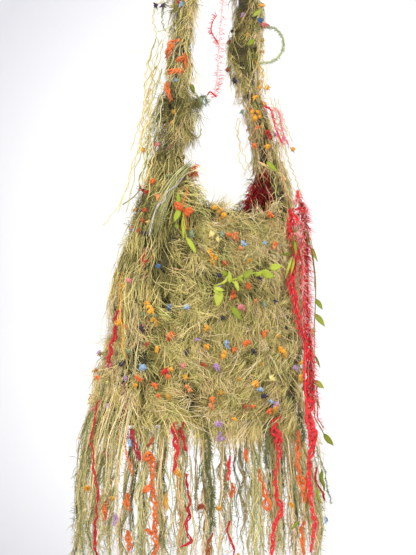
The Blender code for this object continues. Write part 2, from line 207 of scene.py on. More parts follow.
# Soft lumps of the worked cloth: products of bent sines, between -1 and 1
def lumpAt(place):
    x, y, z = place[..., 0], place[..., 1], place[..., 2]
    wide = np.sin(95 * x + 2 * np.sin(60 * z) + 1.3) * np.sin(80 * z + 1.7 * np.sin(70 * x + 90 * y))
    fine = np.sin(210 * x + 170 * y) * np.sin(190 * z + 40 * x)
    return 0.75 * wide + 0.25 * fine


def wallPlace(degrees, z, off=0.0):
    lump = lumpHeight * lumpAt(outlinePlace(degrees, z))
    return outlinePlace(degrees, z, off - foldAt(degrees, z) + lump)


# A place under or over the base: below baseZ + lead it stands out further with the drop, and sways
def hangingPlace(degrees, z, off=0.0, lead=0.0):
    drop = np.maximum(0, baseZ + lead - z)
    sideways = flare["least"] + (1 - flare["least"]) * np.abs(np.cos(np.radians(degrees)))
    out = flare["out"] * sideways * (1 - np.exp(-drop / flare["drop"]))
    sway = flare["sway"] * np.sin(30 * drop) * np.sin(np.radians(degrees * 4))
    drawn = flare["fold"] * foldAt(degrees, z) * (z > baseZ)
    place = outlinePlace(degrees, np.maximum(z, baseZ), off + out - drawn)
    return np.stack([place[..., 0] + sway, place[..., 1] + sway / 2, z + 0.0 * sway], axis=-1)


# Ways out of, down and along the wall at a place, from small steps each way
def wallWays(degrees, z):
    before, after = (outlinePlace(degrees + step, z, -foldAt(degrees + step, z)) for step in (-0.6, 0.6))
    along = after - before
    down = outlinePlace(degrees, z - 0.004) - outlinePlace(degrees, z + 0.004)
    return unit(np.cross(down, along)), unit(down), unit(along)


turn = math.radians(camera["azimuth"])
viewRight = np.array([math.cos(turn), math.sin(turn), 0.0])
viewInto = np.array([-math.sin(turn), math.cos(turn), 0.0])
shownDegrees = np.linspace(185, 368, 700)  # the side of the pouch that the camera sees


def inView(right, up, toward=0.0):
    return right * viewRight + np.array([0, 0, up]) - toward * viewInto


def acrossAt(column):
    return (column - photo["originColumn"]) * photo["scale"]


def heightAt(row):
    return -(row + photo["topRow"]) * photo["scale"]


# The angle and height of the pouch, or of what hangs from it, at a column and row of the photo
def seenPlace(column, row, off=0.006, lead=0.0):
    z = heightAt(row)
    shown = hangingPlace(shownDegrees, z, off, lead) @ viewRight
    first, last = np.argmin(shown), np.argmax(shown)
    return np.interp(acrossAt(column), shown[first : last + 1], shownDegrees[first : last + 1]), z


# A path on the pouch through places of the photo. Stand-offs are spread along it
def seenPath(pixels, count, off=0.010, lead=0.0):
    offs = spreadOver(off, len(pixels))
    places = np.array([seenPlace(column, row, own, lead) for (column, row), own in zip(pixels, offs)])
    at = through(places, np.linspace(0, 1, count))
    return hangingPlace(at[:, 0], at[:, 1], spreadOver(offs, count), lead)


# Places in the air at places of the photo, with their depths into the view
def airPlaces(pixels, depths):
    pixels = np.array(pixels, float)
    places = acrossAt(pixels[:, 0])[:, None] * viewRight + depths[:, None] * viewInto
    places[:, 2] = heightAt(pixels[:, 1])
    return places


def airPath(pixels, count, depth):
    return through(airPlaces(pixels, spreadOver(depth, len(pixels))), np.linspace(0, 1, count))


# Meshes

ease = {"free": np.array([0.001, 0.002, 0.006]), "soft": np.array([0.006, 0.008, 0.010])}


# Eases places that pass the CAD box back towards it: past each side they gain ever less
def keptInside(places):
    low, high = np.array(cadBox[0]) - ease["free"], np.array(cadBox[1]) + ease["free"]
    soft = ease["soft"]
    places = np.where(places > high, high + soft * (1 - np.exp(-np.maximum(places - high, 0) / soft)), places)
    return np.where(places < low, low - soft * (1 - np.exp(-np.maximum(low - places, 0) / soft)), places)


# Closed tubes along paths: a ring of sides stands at each inner point and both ends close in a point.
# Thin squeezes the ring along facing, which makes a tape.
def tubes(paths, widths, tints, sides=3, thin=1.0, facing=(0.31, -0.9, 0.29)):
    paths = keptInside(paths)
    count, steps, _ = paths.shape
    onward = unit(np.gradient(paths, axis=1))
    facing = np.broadcast_to(np.asarray(facing, float), paths.shape)
    across = unit(np.cross(onward, facing))
    over = np.cross(onward, across)
    angle = 2 * np.pi * np.arange(sides) / sides
    half = np.broadcast_to(widths, (count, steps))[:, 1:-1, None, None] / 2
    ring = across[:, 1:-1, None] * np.cos(angle)[:, None] + over[:, 1:-1, None] * thin * np.sin(angle)[:, None]
    rings = paths[:, 1:-1, None] + half * ring
    each = (steps - 2) * sides + 2
    verts = np.concatenate([paths[:, :1], rings.reshape(count, -1, 3), paths[:, -1:]], axis=1)
    k = np.arange(sides)
    j = (k + 1) % sides
    faces = [np.stack([0 * k, 1 + j, 1 + k], axis=1)]
    for r in range(steps - 3):
        here, there = 1 + r * sides, 1 + (r + 1) * sides
        faces.append(np.stack([here + k, here + j, there + j], axis=1))
        faces.append(np.stack([here + k, there + j, there + k], axis=1))
    last = 1 + (steps - 3) * sides
    faces.append(np.stack([last + k, last + j, 0 * k + each - 1], axis=1))
    faces = np.concatenate(faces)[None] + each * np.arange(count)[:, None, None]
    shares = np.linspace(0.01, 0.99, steps)
    v = np.concatenate([shares[:1], np.repeat(shares[1:-1], sides), shares[-1:]])
    u = np.concatenate([[0], np.tile(np.linspace(-0.002, 0.002, sides), steps - 2), [0]])
    uv = np.stack(np.broadcast_arrays(np.asarray(tints)[:, None] + u, v[None]), axis=-1)
    return verts.reshape(-1, 3), faces.reshape(-1, 3), uv.reshape(-1, 2)


# Copies of one closed shape: its points along three ways of each copy
def copies(shape, triangles, shapeUv, places, ways, sizes, tints):
    local = shape[None] * sizes[:, None]
    verts = places[:, None] + np.einsum("nka,nab->nkb", local, ways)
    faces = triangles[None] + len(shape) * np.arange(len(places))[:, None, None]
    uv = np.broadcast_to(shapeUv, (len(places), *shapeUv.shape)).copy()
    uv[..., 0] += tints[:, None]
    return verts.reshape(-1, 3), faces.reshape(-1, 3), uv.reshape(-1, 2)


def gathered(parts):
    starts = np.cumsum([0] + [len(part[0]) for part in parts[:-1]])
    verts = np.concatenate([part[0] for part in parts])
    faces = np.concatenate([part[1] + start for part, start in zip(parts, starts)])
    uv = np.concatenate([part[2] for part in parts])
    return verts, faces, uv


def addPiece(name, parts, material, replaced=()):
    verts, faces, uv = gathered(parts)
    mesh = bpy.data.meshes.new(name)
    mesh.vertices.add(len(verts))
    mesh.vertices.foreach_set("co", verts.astype(np.float32).ravel())
    mesh.loops.add(faces.size)
    mesh.loops.foreach_set("vertex_index", faces.astype(np.int32).ravel())
    mesh.polygons.add(len(faces))
    mesh.polygons.foreach_set("loop_start", 3 * np.arange(len(faces), dtype=np.int32))
    mesh.polygons.foreach_set("use_smooth", np.ones(len(faces), bool))
    mesh.update(calc_edges=True)
    layer = mesh.uv_layers.new(name="OFBake")
    layer.data.foreach_set("uv", uv[faces.ravel()].astype(np.float32).ravel())
    mesh.validate()
    mesh.materials.append(material)
    piece = bpy.data.objects.new(name, mesh)
    bpy.context.scene.collection.objects.link(piece)
    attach(piece, "root")
    if replaced:
        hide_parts(*replaced)
    print(name, len(faces), "triangles")
    return piece


# A closed cloth between an outer and an inner grid of places. Looped grids close round in their columns
def clothBetween(outer, inner, looped=False):
    rows, columns, _ = outer.shape
    index = np.arange(rows * columns).reshape(rows, columns)
    if looped:
        index = np.concatenate([index, index[:, :1]], axis=1)
    far = index + rows * columns

    def quads(a, b, c, d):
        a, b, c, d = (part.ravel() for part in (a, b, c, d))
        return np.concatenate([np.stack([a, b, c], axis=1), np.stack([a, c, d], axis=1)])

    faces = [
        quads(index[:-1, :-1], index[1:, :-1], index[1:, 1:], index[:-1, 1:]),
        quads(far[:-1, :-1], far[:-1, 1:], far[1:, 1:], far[1:, :-1]),
        quads(index[0, :-1], index[0, 1:], far[0, 1:], far[0, :-1]),
        quads(index[-1, :-1], far[-1, :-1], far[-1, 1:], index[-1, 1:]),
    ]
    if not looped:
        faces.append(quads(index[:-1, 0], far[:-1, 0], far[1:, 0], index[1:, 0]))
        faces.append(quads(index[:-1, -1], index[1:, -1], far[1:, -1], far[:-1, -1]))
    verts = np.concatenate([outer.reshape(-1, 3), inner.reshape(-1, 3)])
    v, u = np.meshgrid(np.linspace(0.02, 0.98, rows), np.linspace(0.02, 0.98, columns), indexing="ij")
    uv = np.tile(np.stack([u.ravel(), v.ravel()], axis=-1), (2, 1))
    return verts, np.concatenate(faces), uv


# Materials


def newMaterial(name, roughness, sheen=0.0):
    made = bpy.data.materials.new(name)
    made.use_nodes = True
    shader = made.node_tree.nodes["Principled BSDF"]
    shader.inputs["Roughness"].default_value = roughness
    shader.inputs["Specular IOR Level"].default_value = 0.2
    if sheen:
        shader.inputs["Sheen Weight"].default_value = sheen
        shader.inputs["Sheen Roughness"].default_value = 0.5
    return made, made.node_tree.nodes, made.node_tree.links, shader


def addNode(nodes, kind, **inputs):
    made = nodes.new("ShaderNode" + kind)
    for name, value in inputs.items():
        made.inputs[name].default_value = value
    return made


def rampNode(nodes, stops, constant=False):
    ramp = addNode(nodes, "ValToRGB")
    ramp.color_ramp.interpolation = "CONSTANT" if constant else "LINEAR"
    elements = ramp.color_ramp.elements
    elements[0].position, elements[1].position = stops[0][0], stops[-1][0]
    for place, _ in stops[1:-1]:
        elements.new(place)
    for element, (_, colour) in zip(elements, stops):
        element.color = (*colour, 1)
    return ramp


def multiplied(nodes, links, a, b):
    mix = nodes.new("ShaderNodeMix")
    mix.data_type = "RGBA"
    mix.blend_type = "MULTIPLY"
    mix.inputs[0].default_value = 1
    links.new(a, mix.inputs[6])
    links.new(b, mix.inputs[7])
    return mix.outputs[2]


# Yarn coloured by its map: the tint across, and along it painted shade, darker at the root and lighter to the
# tip
def yarnMaterial(name, tints, shades, roughness=0.8, sheen=0.3, constant=False, grain=0.0):
    made, nodes, links, shader = newMaterial(name, roughness, sheen)
    uvMap = nodes.new("ShaderNodeUVMap")
    uvMap.uv_map = "OFBake"
    apart = nodes.new("ShaderNodeSeparateXYZ")
    links.new(uvMap.outputs[0], apart.inputs[0])
    tint = rampNode(nodes, tints, constant)
    shade = rampNode(nodes, [(place, (grey,) * 3) for place, grey in shades])
    links.new(apart.outputs[0], tint.inputs[0])
    links.new(apart.outputs[1], shade.inputs[0])
    coloured = multiplied(nodes, links, tint.outputs[0], shade.outputs[0])
    if grain:
        stretched = nodes.new("ShaderNodeVectorMath")
        stretched.operation = "MULTIPLY"
        stretched.inputs[1].default_value = (9.0, grain, 0.0)
        specks = addNode(nodes, "TexNoise", Scale=1.0, Detail=2.0)
        dim = rampNode(nodes, [(0.38, (0.66,) * 3), (0.60, (1.14,) * 3)])
        links.new(uvMap.outputs[0], stretched.inputs[0])
        links.new(stretched.outputs[0], specks.inputs["Vector"])
        links.new(specks.outputs["Fac"], dim.inputs[0])
        coloured = multiplied(nodes, links, coloured, dim.outputs[0])
    links.new(coloured, shader.inputs["Base Color"])
    return made


# Knitted ground: mottled olives, with the stitches as crossed waves in the bump
def clothMaterial(name, dark, light, roughness=0.9):
    made, nodes, links, shader = newMaterial(name, roughness, 0.2)
    place = nodes.new("ShaderNodeTexCoord")
    patches = addNode(nodes, "TexNoise", Scale=60, Detail=6)
    links.new(place.outputs["Object"], patches.inputs["Vector"])
    colour = rampNode(nodes, [(0.35, dark), (0.62, light)])
    links.new(patches.outputs["Fac"], colour.inputs[0])
    links.new(colour.outputs[0], shader.inputs["Base Color"])
    stitches = addNode(nodes, "TexWave", Scale=70, Distortion=3, Detail=2)
    stitches.bands_direction = "Z"
    links.new(place.outputs["Object"], stitches.inputs["Vector"])
    bump = addNode(nodes, "Bump", Strength=0.7, Distance=0.002)
    links.new(stitches.outputs["Fac"], bump.inputs["Height"])
    links.new(bump.outputs[0], shader.inputs["Normal"])
    return made


mossTints = [
    (0.0, (0.055, 0.050, 0.014)),
    (0.16, (0.165, 0.145, 0.036)),
    (0.34, (0.345, 0.290, 0.076)),
    (0.54, (0.640, 0.515, 0.160)),
    (0.72, (0.920, 0.755, 0.310)),
    (0.84, (0.460, 0.495, 0.120)),
    (0.93, (0.770, 0.480, 0.215)),
    (1.0, (0.990, 0.860, 0.540)),
]
fringeTints = [
    (0.0, (0.075, 0.080, 0.026)),
    (0.18, (0.210, 0.200, 0.065)),
    (0.42, (0.500, 0.430, 0.165)),
    (0.66, (0.780, 0.665, 0.330)),
    (0.80, (0.400, 0.480, 0.210)),
    (0.90, (0.780, 0.450, 0.190)),
    (1.0, (0.960, 0.830, 0.520)),
]
noveltyColours = {
    "gold": (0.80, 0.370, 0.035),
    "orange": (0.76, 0.165, 0.036),
    "red": (0.56, 0.028, 0.022),
    "yellow": (0.78, 0.640, 0.230),
    "sky": (0.31, 0.440, 0.620),
    "blue": (0.075, 0.150, 0.300),
    "lavender": (0.46, 0.270, 0.470),
    "pink": (0.56, 0.190, 0.170),
    "navy": (0.050, 0.036, 0.056),
    "teal": (0.24, 0.320, 0.200),
    "rust": (0.40, 0.088, 0.024),
    "mint": (0.26, 0.320, 0.150),
    "peach": (0.68, 0.250, 0.085),
    "honey": (0.48, 0.270, 0.045),
    "lilac": (0.56, 0.440, 0.520),
}
noveltyNames = list(noveltyColours)


def noveltyTint(name):
    return (noveltyNames.index(name) + 0.5) / len(noveltyNames)


noveltyStops = [(k / len(noveltyNames), colour) for k, colour in enumerate(noveltyColours.values())]
# Crimson ramp: the pale pinks at its top are painted highlights on the crimson
crimsonStops = [
    (0.0, (0.26, 0.007, 0.010)),
    (0.3, (0.60, 0.018, 0.024)),
    (0.5, (0.80, 0.034, 0.038)),
    (0.8, (1.0, 0.185, 0.165)),
    (1.0, (1.0, 0.62, 0.56)),
]
leafStops = [
    (0.0, (0.10, 0.125, 0.008)),
    (0.35, (0.20, 0.24, 0.016)),
    (0.65, (0.33, 0.39, 0.034)),
    (1.0, (0.47, 0.48, 0.062)),
]
loopStops = [(0.0, (0.105, 0.104, 0.034)), (0.5, (0.32, 0.36, 0.140)), (1.0, (0.56, 0.60, 0.33))]
# Painted shade: each yarn is painted darker towards its root, where fibres lie in each other's shade, and
# lighter towards its tip
rootShadeToTip = {  # how dark or light a yarn is along its run
    "pile": [(0.0, 0.28), (0.25, 0.70), (0.60, 1.12), (1.0, 1.28)],
    "fringe": [(0.0, 0.5), (0.12, 1.0), (1.0, 1.16)],
    "crimson": [(0.0, 0.8), (0.5, 1.0), (1.0, 1.1)],
    "leaf": [(0.0, 0.7), (0.3, 1.0), (1.0, 0.95)],
    "novelty": [(0.0, 0.7), (0.5, 1.0), (1.0, 1.05)],
    "boucle": [(0.0, 0.8), (1.0, 1.0)],
}
materials = {
    # the knit's dark olives are partly its own colour and partly painted shade, for the dark gaps deep in the
    # pile
    "pouchCloth": clothMaterial("mossKnit", (0.028, 0.024, 0.008), (0.130, 0.105, 0.036)),
    "pile": yarnMaterial("mossPile", mossTints, rootShadeToTip["pile"], 0.75, 0.12),
    "fringe": yarnMaterial("fringeYarn", fringeTints, rootShadeToTip["fringe"], 0.75, 0.12),
    "crimson": yarnMaterial("crimsonRibbon", crimsonStops, rootShadeToTip["crimson"], 0.6, 0.1, grain=70.0),
    "leaf": yarnMaterial("leafRibbon", leafStops, rootShadeToTip["leaf"], 0.5, 0.05),
    "novelty": yarnMaterial("noveltyYarn", noveltyStops, rootShadeToTip["novelty"], 0.8, 0.1, True, 45.0),
    "boucle": yarnMaterial("greenLoopYarn", loopStops, rootShadeToTip["boucle"], 0.8, 0.1),
}
print("materials made")


# Cloth of the pouch and the strap

cloth = {"thick": 0.005, "under": 0.002, "seam": 0.25, "columns": 30, "rows": 36, "bottom": 0.004}
flats = {
    "side_right": ((0.170, 0.410), 0.046),
    "back_panel": ((0.300, 0.400), 0.088),
    "side_left": ((0.170, 0.420), 0.047),
    "front_panel": ((0.300, 0.400), 0.088),
}


# One wall's cloth, from seam to seam and from the mouth's edge to the base
def addWallCloth(name, first, last, flat, area):
    degrees = np.linspace(first + cloth["seam"], last - cloth["seam"], cloth["columns"])[None]
    share = np.linspace(0, 1, cloth["rows"])[:, None]
    z = rimAt(degrees) * (1 - share) + (baseZ + cloth["bottom"]) * share
    outer, inner = (wallPlace(degrees, z, -cloth["under"] - under) for under in (0, cloth["thick"]))
    piece = addPiece(name + "_cloth", [clothBetween(outer, inner)], materials["pouchCloth"], (name,))


for wall, (first, last) in walls.items():
    addWallCloth(wall, first, last, *flats[wall])

baseCloth = {"around": 96, "rings": 8, "inset": 0.0125, "middle": (-0.036, 0.0, baseZ), "thick": 0.004}


# The base's cloth: rings of the pouch's outline drawn in towards its middle, with low swells
def addBaseCloth():
    around = np.linspace(0, 360, baseCloth["around"], endpoint=False)
    inward = 0.985 * np.linspace(0, 1, baseCloth["rings"])[:, None, None]
    edge, middle = outlinePlace(around, baseZ, -baseCloth["inset"]), np.array(baseCloth["middle"])
    low = edge * (1 - inward) + middle * inward
    low[..., 2] = baseZ + 0.002 + 0.0012 * np.sin(60 * low[..., 0]) * np.cos(80 * low[..., 1])
    high = low + np.array([0, 0, baseCloth["thick"]])
    parts = [clothBetween(high[:, ::-1], low[:, ::-1], looped=True)]
    piece = addPiece("base_cloth", parts, materials["pouchCloth"], ("base",))


addBaseCloth()


# The strap's rows over its top: half a turn round what it hangs on
def strapArc():
    angle = np.pi * (1 - np.arange(1, strapTop["steps"]) / strapTop["steps"])
    height = strapTop["thick"] / 2 - strapTop["radius"] + strapTop["radius"] * np.sin(angle)
    rows = np.tile([0, 0, 0, strapTop["width"], strapTop["thick"], 0], (len(angle), 1))
    rows[:, 0], rows[:, 2] = strapTop["radius"] * np.cos(angle), height
    return rows


strapFine = through(np.concatenate([strapLeft, strapArc(), strapRight]), np.linspace(0, 1, 600))
strapRun = runAlong(strapFine[:, :3])
strapOnward = unit(np.gradient(strapFine[:, :3], axis=0))


# The strap's centre line and its ways across and out at shares of its run, turned about the run
def strapAt(shares):
    at = np.asarray(shares) * strapRun[-1]
    row = np.stack([np.interp(at, strapRun, values) for values in strapFine.T], axis=-1)
    onward = unit(np.stack([np.interp(at, strapRun, values) for values in strapOnward.T], axis=-1))
    flat = unit(np.cross(onward, [0, 1, 0]))
    turned = np.radians(row[..., 5:])
    across = np.array([0, 1, 0]) * np.cos(turned) + flat * np.sin(turned)
    return row, onward, across, unit(np.cross(onward, across))


# A place on the strap at a share of its run and an angle round its flattened section
def strapPlace(shares, angle, off):
    row, onward, across, out = strapAt(shares)
    c, s = np.cos(angle), np.sin(angle)
    side = np.sign(c) * np.abs(c) ** sectionPower * (row[..., 3] / 2 + off)
    face = np.sign(s) * np.abs(s) ** sectionPower * (row[..., 4] / 2 + off)
    place = row[..., :3] + across * side[..., None] + out * face[..., None]
    away = unit(across * (side * row[..., 4])[..., None] + out * (face * row[..., 3])[..., None])
    return place, away, onward


strapCloth = {"along": 110, "around": 12, "under": 0.003, "lump": 0.0015, "core": 0.55}


# The strap's cloth, with a smaller closed tube inside it
def addStrapCloth():
    shares = np.linspace(0, 1, strapCloth["along"])[:, None]
    angles = np.linspace(0, 2 * np.pi, strapCloth["around"], endpoint=False)[None]
    outer, away, _ = strapPlace(*np.broadcast_arrays(shares, angles), -strapCloth["under"])
    outer = outer + away * (strapCloth["lump"] * lumpAt(outer * 1.6))[..., None]
    core = outer.mean(axis=1, keepdims=True) * (1 - strapCloth["core"]) + outer * strapCloth["core"]
    parts = [clothBetween(outer, core, looped=True)]
    piece = addPiece("strap_cloth", parts, materials["pouchCloth"], ("strap",))


addStrapCloth()
print("cloth made")


# Pile


# Fibres from roots: they leave along out, bow over and lie along heading, curved to one side and drooping
def fibrePaths(roots, out, heading, lengths, lift, bend, droop, wave, rng, steps=6):
    t = np.linspace(0, 1, steps)[None, :, None]
    side = np.cross(out, heading)
    count = len(roots)

    def each(value):
        return np.broadcast_to(value, count)[:, None, None]

    phase = rng.uniform(0, 2 * np.pi, (count, 1, 1))
    reach = each(lengths) * t
    paths = roots[:, None] + heading[:, None] * reach * (1 - 0.25 * each(bend) ** 2 * t)
    paths = paths + side[:, None] * each(lengths) * each(bend) * t**2
    paths = paths + out[:, None] * each(lift) * np.sin(np.pi * t**0.65 * 0.9)
    paths = paths + side[:, None] * each(wave) * (np.sin(2 * np.pi * 1.6 * t + phase) - np.sin(phase)) * t
    paths[..., 2] -= (each(droop) * t**2)[..., 0]
    return paths


def taper(widths, steps, tip=0.35):
    t = np.linspace(0, 1, steps)
    return np.asarray(widths)[:, None] * (1 - (1 - tip) * t**2)


# The way the pile is combed at a place, as an angle from straight down towards the right, in degrees
def combAngle(place):
    x, z = place[..., 0], place[..., 2]
    wide = 42 + 34 * np.sin(21 * x + 16 * z + 10.2) + 24 * np.sin(33 * z - 11 * x + 1.0)
    crossing = 1 / (1 + np.exp(-(x + 0.05) / 0.02)) / (1 + np.exp((z + 0.70) / 0.018))
    wide = wide * (1 - crossing) - (52 - 18 * np.sin(40 * z)) * crossing
    return wide + 26 * np.sin(75 * x + 20 * np.sin(14 * z)) * np.sin(62 * z + 8)


def downward(place):
    return 14 * np.sin(40 * place[..., 2] + 20 * place[..., 0])


def upward(place):
    return 165 + 50 * np.sin(70 * place[..., 0] + 50 * place[..., 2])


# Places spread over a part of the wall. Angles are spread evenly by length round the outline
def spreadPlaces(first, last, topDrop, bottomZ, count, rng):
    fine = np.linspace(first, last, 300)
    run = runAlong(outlinePlace(fine, middleZ))
    degrees = np.interp(rng.uniform(0, run[-1], count), run, fine)
    share = rng.uniform(0, 1, count)
    return degrees, (rimAt(degrees) - topDrop) * (1 - share) + bottomZ * share


patches = [  # how much lighter, by angle or by x, its middle and spread there, its middle and spread in z
    # painted shade in the fold at the left of the front
    (-0.46, "degrees", 231, 10, -0.560, 0.070),
    (0.72, "x", 0.080, 0.050, -0.565, 0.070),
    (0.16, "x", 0.010, 0.060, -0.715, 0.050),
    (0.12, "x", 0, np.inf, -0.790, 0.030),
    (-0.30, "x", -0.030, 0.034, -0.560, 0.040),
    # painted shade lower in the same fold
    (-0.32, "degrees", 226, 9, -0.700, 0.080),
    (-0.22, "x", -0.015, 0.040, -0.620, 0.025),
]
sidePatch = {"degrees": (150, 218), "below": (0.26, -0.62), "above": (-0.38, -0.61), "soft": 0.02}


# Tufts take their tints by patches: a slow wave over the wall picks from dark to light, and chance moves it.
# Bells make places on the front lighter or darker, two of them painted shade in the fold at its left, and the
# left side is darker above and lighter below
def patchTints(place, degrees, tints, rng):
    x, y, z = place[..., 0], place[..., 1], place[..., 2]
    patch = 0.5 + 0.35 * np.sin(38 * x + 22 * np.sin(9 * z) + 5 * y) * np.sin(34 * z + 12 * x + 0.7)
    for lighter, by, middle, spread, middleHeight, spreadHeight in patches:
        aside = ((degrees if by == "degrees" else x) - middle) / spread
        patch = patch + lighter * np.exp(-(aside**2) - ((z - middleHeight) / spreadHeight) ** 2)
    (first, last), soft = sidePatch["degrees"], sidePatch["soft"]
    (below, belowZ), (above, aboveZ) = sidePatch["below"], sidePatch["above"]
    side = below / (1 + np.exp((z - belowZ) / soft)) + above / (1 + np.exp((aboveZ - z) / soft))
    patch = patch + (degrees > first) * (degrees < last) * side + rng.normal(0, 0.22, len(patch))
    ordered = np.asarray(tints, float)
    return ordered[np.clip(patch * len(ordered), 0, len(ordered) - 1).astype(int)]


# Tints moved by chance and kept inside the map
def varied(tints, spread, rng):
    return np.clip(tints + rng.normal(0, spread, len(tints)), 0.01, 0.99)


darkTints = [0.03, 0.08, 0.14, 0.20, 0.28]
midTints = [0.22, 0.34, 0.82, 0.44, 0.52, 0.84, 0.60, 0.67, 0.72, 0.93]
lightTints = [0.60, 0.68, 0.74, 0.94, 0.98]
undercoat = {
    "perTuft": 6,
    "length": (0.018, 0.030),
    "width": (0.0012, 0.0019),
    "lift": (0.005, 0.010),
    "spread": 40,
    "bend": 0.55,
    "tints": darkTints,
    "steps": 3,
}
down = {
    "perTuft": 7,
    "length": (0.016, 0.034),
    "width": (0.0005, 0.0009),
    "lift": (0.011, 0.018),
    "spread": 75,
    "bend": 0.5,
    "tints": midTints + lightTints,
    "steps": 4,
}
tufted = {
    "perTuft": 17,
    "length": (0.026, 0.050),
    "width": (0.0005, 0.0009),
    "lift": (0.008, 0.014),
    "spread": 16,
    "bend": 0.5,
    "tints": midTints,
    "steps": 5,
}
straggling = {
    "perTuft": 4,
    "length": (0.045, 0.085),
    "width": (0.0006, 0.0010),
    "lift": (0.010, 0.018),
    "spread": 26,
    "bend": 0.45,
    "tints": lightTints,
    "steps": 7,
}


scatter = {"degrees": 1.1, "z": 0.0042, "comb": 9, "bend": 0.17, "wave": 0.13, "tint": 0.045}  # inside a tuft


# One layer of pile on a wall. Each tuft has its own way, length, bend and tint, and its fibres
# differ a little. Wild is the share of fibres that stand half as high again
def wallPile(first, last, tufts, layer, comb, rng, topDrop=0.002, bottomZ=baseZ + 0.002, **changes):
    layer = {"root": -0.003, "wild": 0.05, **layer, **changes}
    degrees, z = spreadPlaces(first, last, topDrop, bottomZ, tufts, rng)
    place = outlinePlace(degrees, z)
    combed = comb(place) + rng.normal(0, layer["spread"], tufts)
    tuftTint = patchTints(place, degrees, layer["tints"], rng)
    tuftLength = rng.uniform(*layer["length"], tufts)
    tuftBend = rng.normal(0, layer["bend"], tufts)
    which = np.repeat(np.arange(tufts), layer["perTuft"])
    count, steps = len(which), layer["steps"]
    d = degrees[which] + rng.normal(0, scatter["degrees"], count)
    h = z[which] + rng.normal(0, scatter["z"], count)
    out, down, along = wallWays(d, h)
    angle = np.radians(combed[which] + rng.normal(0, scatter["comb"], count))[:, None]
    heading = unit(down * np.cos(angle) + along * np.sin(angle))
    lengths = tuftLength[which] * rng.uniform(0.7, 1.15, count)
    lifts = rng.uniform(*layer["lift"], count)
    lifts = np.where(rng.uniform(0, 1, count) < layer["wild"], lifts * 1.5, lifts)
    bends = tuftBend[which] + rng.normal(0, scatter["bend"], count)
    waves = rng.uniform(0, scatter["wave"], count) * lengths
    roots = wallPlace(d, h, layer["root"])
    paths = fibrePaths(roots, out, heading, lengths, lifts, bends, 0.15 * lengths, waves, rng, steps)
    fibreTint = varied(tuftTint[which], scatter["tint"], rng)
    return tubes(paths, taper(rng.uniform(*layer["width"], count), steps), fibreTint)


rimWidth = (0.0009, 0.0014)
rimFibre = {"root": -0.005, "lift": 0.25, "droop": 0.55, "steps": 5}
liningFibre = {"root": -0.0065, "lift": 0.22, "droop": 0.1, "steps": 4}


# Single fibres from places on a wall. Lift and droop are shares of their lengths
def singleFibres(kind, degrees, z, out, heading, length, width, tints, rng):
    count, steps = len(degrees), kind["steps"]
    lengths = rng.uniform(*length, count)
    roots, bends = wallPlace(degrees, z, kind["root"]), rng.normal(0, 0.5, count)
    lifts, droops = kind["lift"] * lengths, kind["droop"] * lengths
    paths = fibrePaths(roots, out, heading, lengths, lifts, bends, droops, 0.1 * lengths, rng, steps)
    fibreTint = varied(rng.choice(tints, count), 0.05, rng)
    return tubes(paths, taper(rng.uniform(*width, count), steps), fibreTint)


# Fibres standing along the mouth's edge, leaning out or in by chance
def rimPile(
    first, last, count, tints, rng, length=(0.014, 0.028), lean=(-0.6, 1.0), width=rimWidth, drop=0.004
):
    degrees = rng.uniform(first, last, count)
    z = rimAt(degrees) - rng.uniform(0, drop, count)
    out, down, along = wallWays(degrees, z)
    heading = out * rng.uniform(*lean, count)[:, None] - down * rng.uniform(0.1, 0.9, (count, 1))
    heading = unit(heading + along * rng.normal(0, 0.6, (count, 1)))
    return singleFibres(rimFibre, degrees, z, -down, heading, length, width, tints, rng)


# Short fibres on the inner face of a wall, near the mouth
def liningPile(first, last, count, depth, tints, rng):
    degrees = rng.uniform(first, last, count)
    z = rimAt(degrees) - rng.uniform(0.002, depth, count)
    out, down, along = wallWays(degrees, z)
    heading = unit(down + along * rng.normal(0, 0.6, (count, 1)))
    return singleFibres(liningFibre, degrees, z, -out, heading, (0.014, 0.026), (0.0011, 0.0018), tints, rng)


rng = np.random.default_rng(4779)
hem = {"perTuft": 11, "length": (0.022, 0.048), "lift": (0.004, 0.010), "spread": 14, "steps": 5}
rimTuft = {
    "perTuft": 7,
    "length": (0.012, 0.024),
    "width": (0.0006, 0.0011),
    "lift": (0.010, 0.018),
    "spread": 42,
    "tints": darkTints + midTints,
}
rimTints = midTints + lightTints
low, lowest = baseZ + 0.008, baseZ + 0.001
frontCoat = [
    wallPile(219, 321, 540, undercoat, combAngle, rng, bottomZ=low),
    wallPile(219, 321, 470, down, combAngle, rng, bottomZ=low),
    wallPile(218, 322, 150, straggling, combAngle, rng, wild=0.1),
    wallPile(220, 320, 125, {**tufted, **hem}, downward, rng, topDrop=0.31, bottomZ=lowest),
    rimPile(228, 262, 170, rimTints, rng),
    rimPile(262, 300, 150, rimTints, rng, length=(0.006, 0.014)),
    rimPile(300, 324, 110, rimTints, rng, length=(0.010, 0.022)),
    wallPile(230, 300, 140, {**down, **rimTuft}, upward, rng, topDrop=0.012, bottomZ=-0.575),
]
addPiece("front_undercoat", frontCoat, materials["pile"])
frontPile = wallPile(219, 321, 515, tufted, combAngle, rng, bottomZ=baseZ + 0.016)
addPiece("front_pile", [frontPile], materials["pile"])
backPile = [
    wallPile(41, 139, 260, undercoat, combAngle, rng),
    wallPile(41, 139, 165, tufted, combAngle, rng, perTuft=11, steps=4, width=(0.0013, 0.0020)),
    wallPile(41, 139, 45, straggling, combAngle, rng),
    wallPile(44, 136, 36, {**tufted, **hem}, downward, rng, topDrop=0.29, bottomZ=lowest),
    rimPile(44, 136, 200, midTints, rng),
    liningPile(44, 136, 560, 0.09, darkTints, rng),
]
addPiece("back_pile", backPile, materials["pile"])
sideLayers = [  # tufts, layer, what is changed in it
    (220, undercoat, {}),
    (300, down, {"spread": 45, "length": (0.014, 0.028), "bend": 0.3}),
    (215, tufted, {"perTuft": 11, "length": (0.028, 0.056), "spread": 20}),
    (120, straggling, {"root": 0.004, "spread": 9, "lift": (0.006, 0.012), "bend": 0.12}),
]
earTufts = {**tufted, "perTuft": 9, "tints": [0.58, 0.90, 0.93, 0.97, 0.32]}
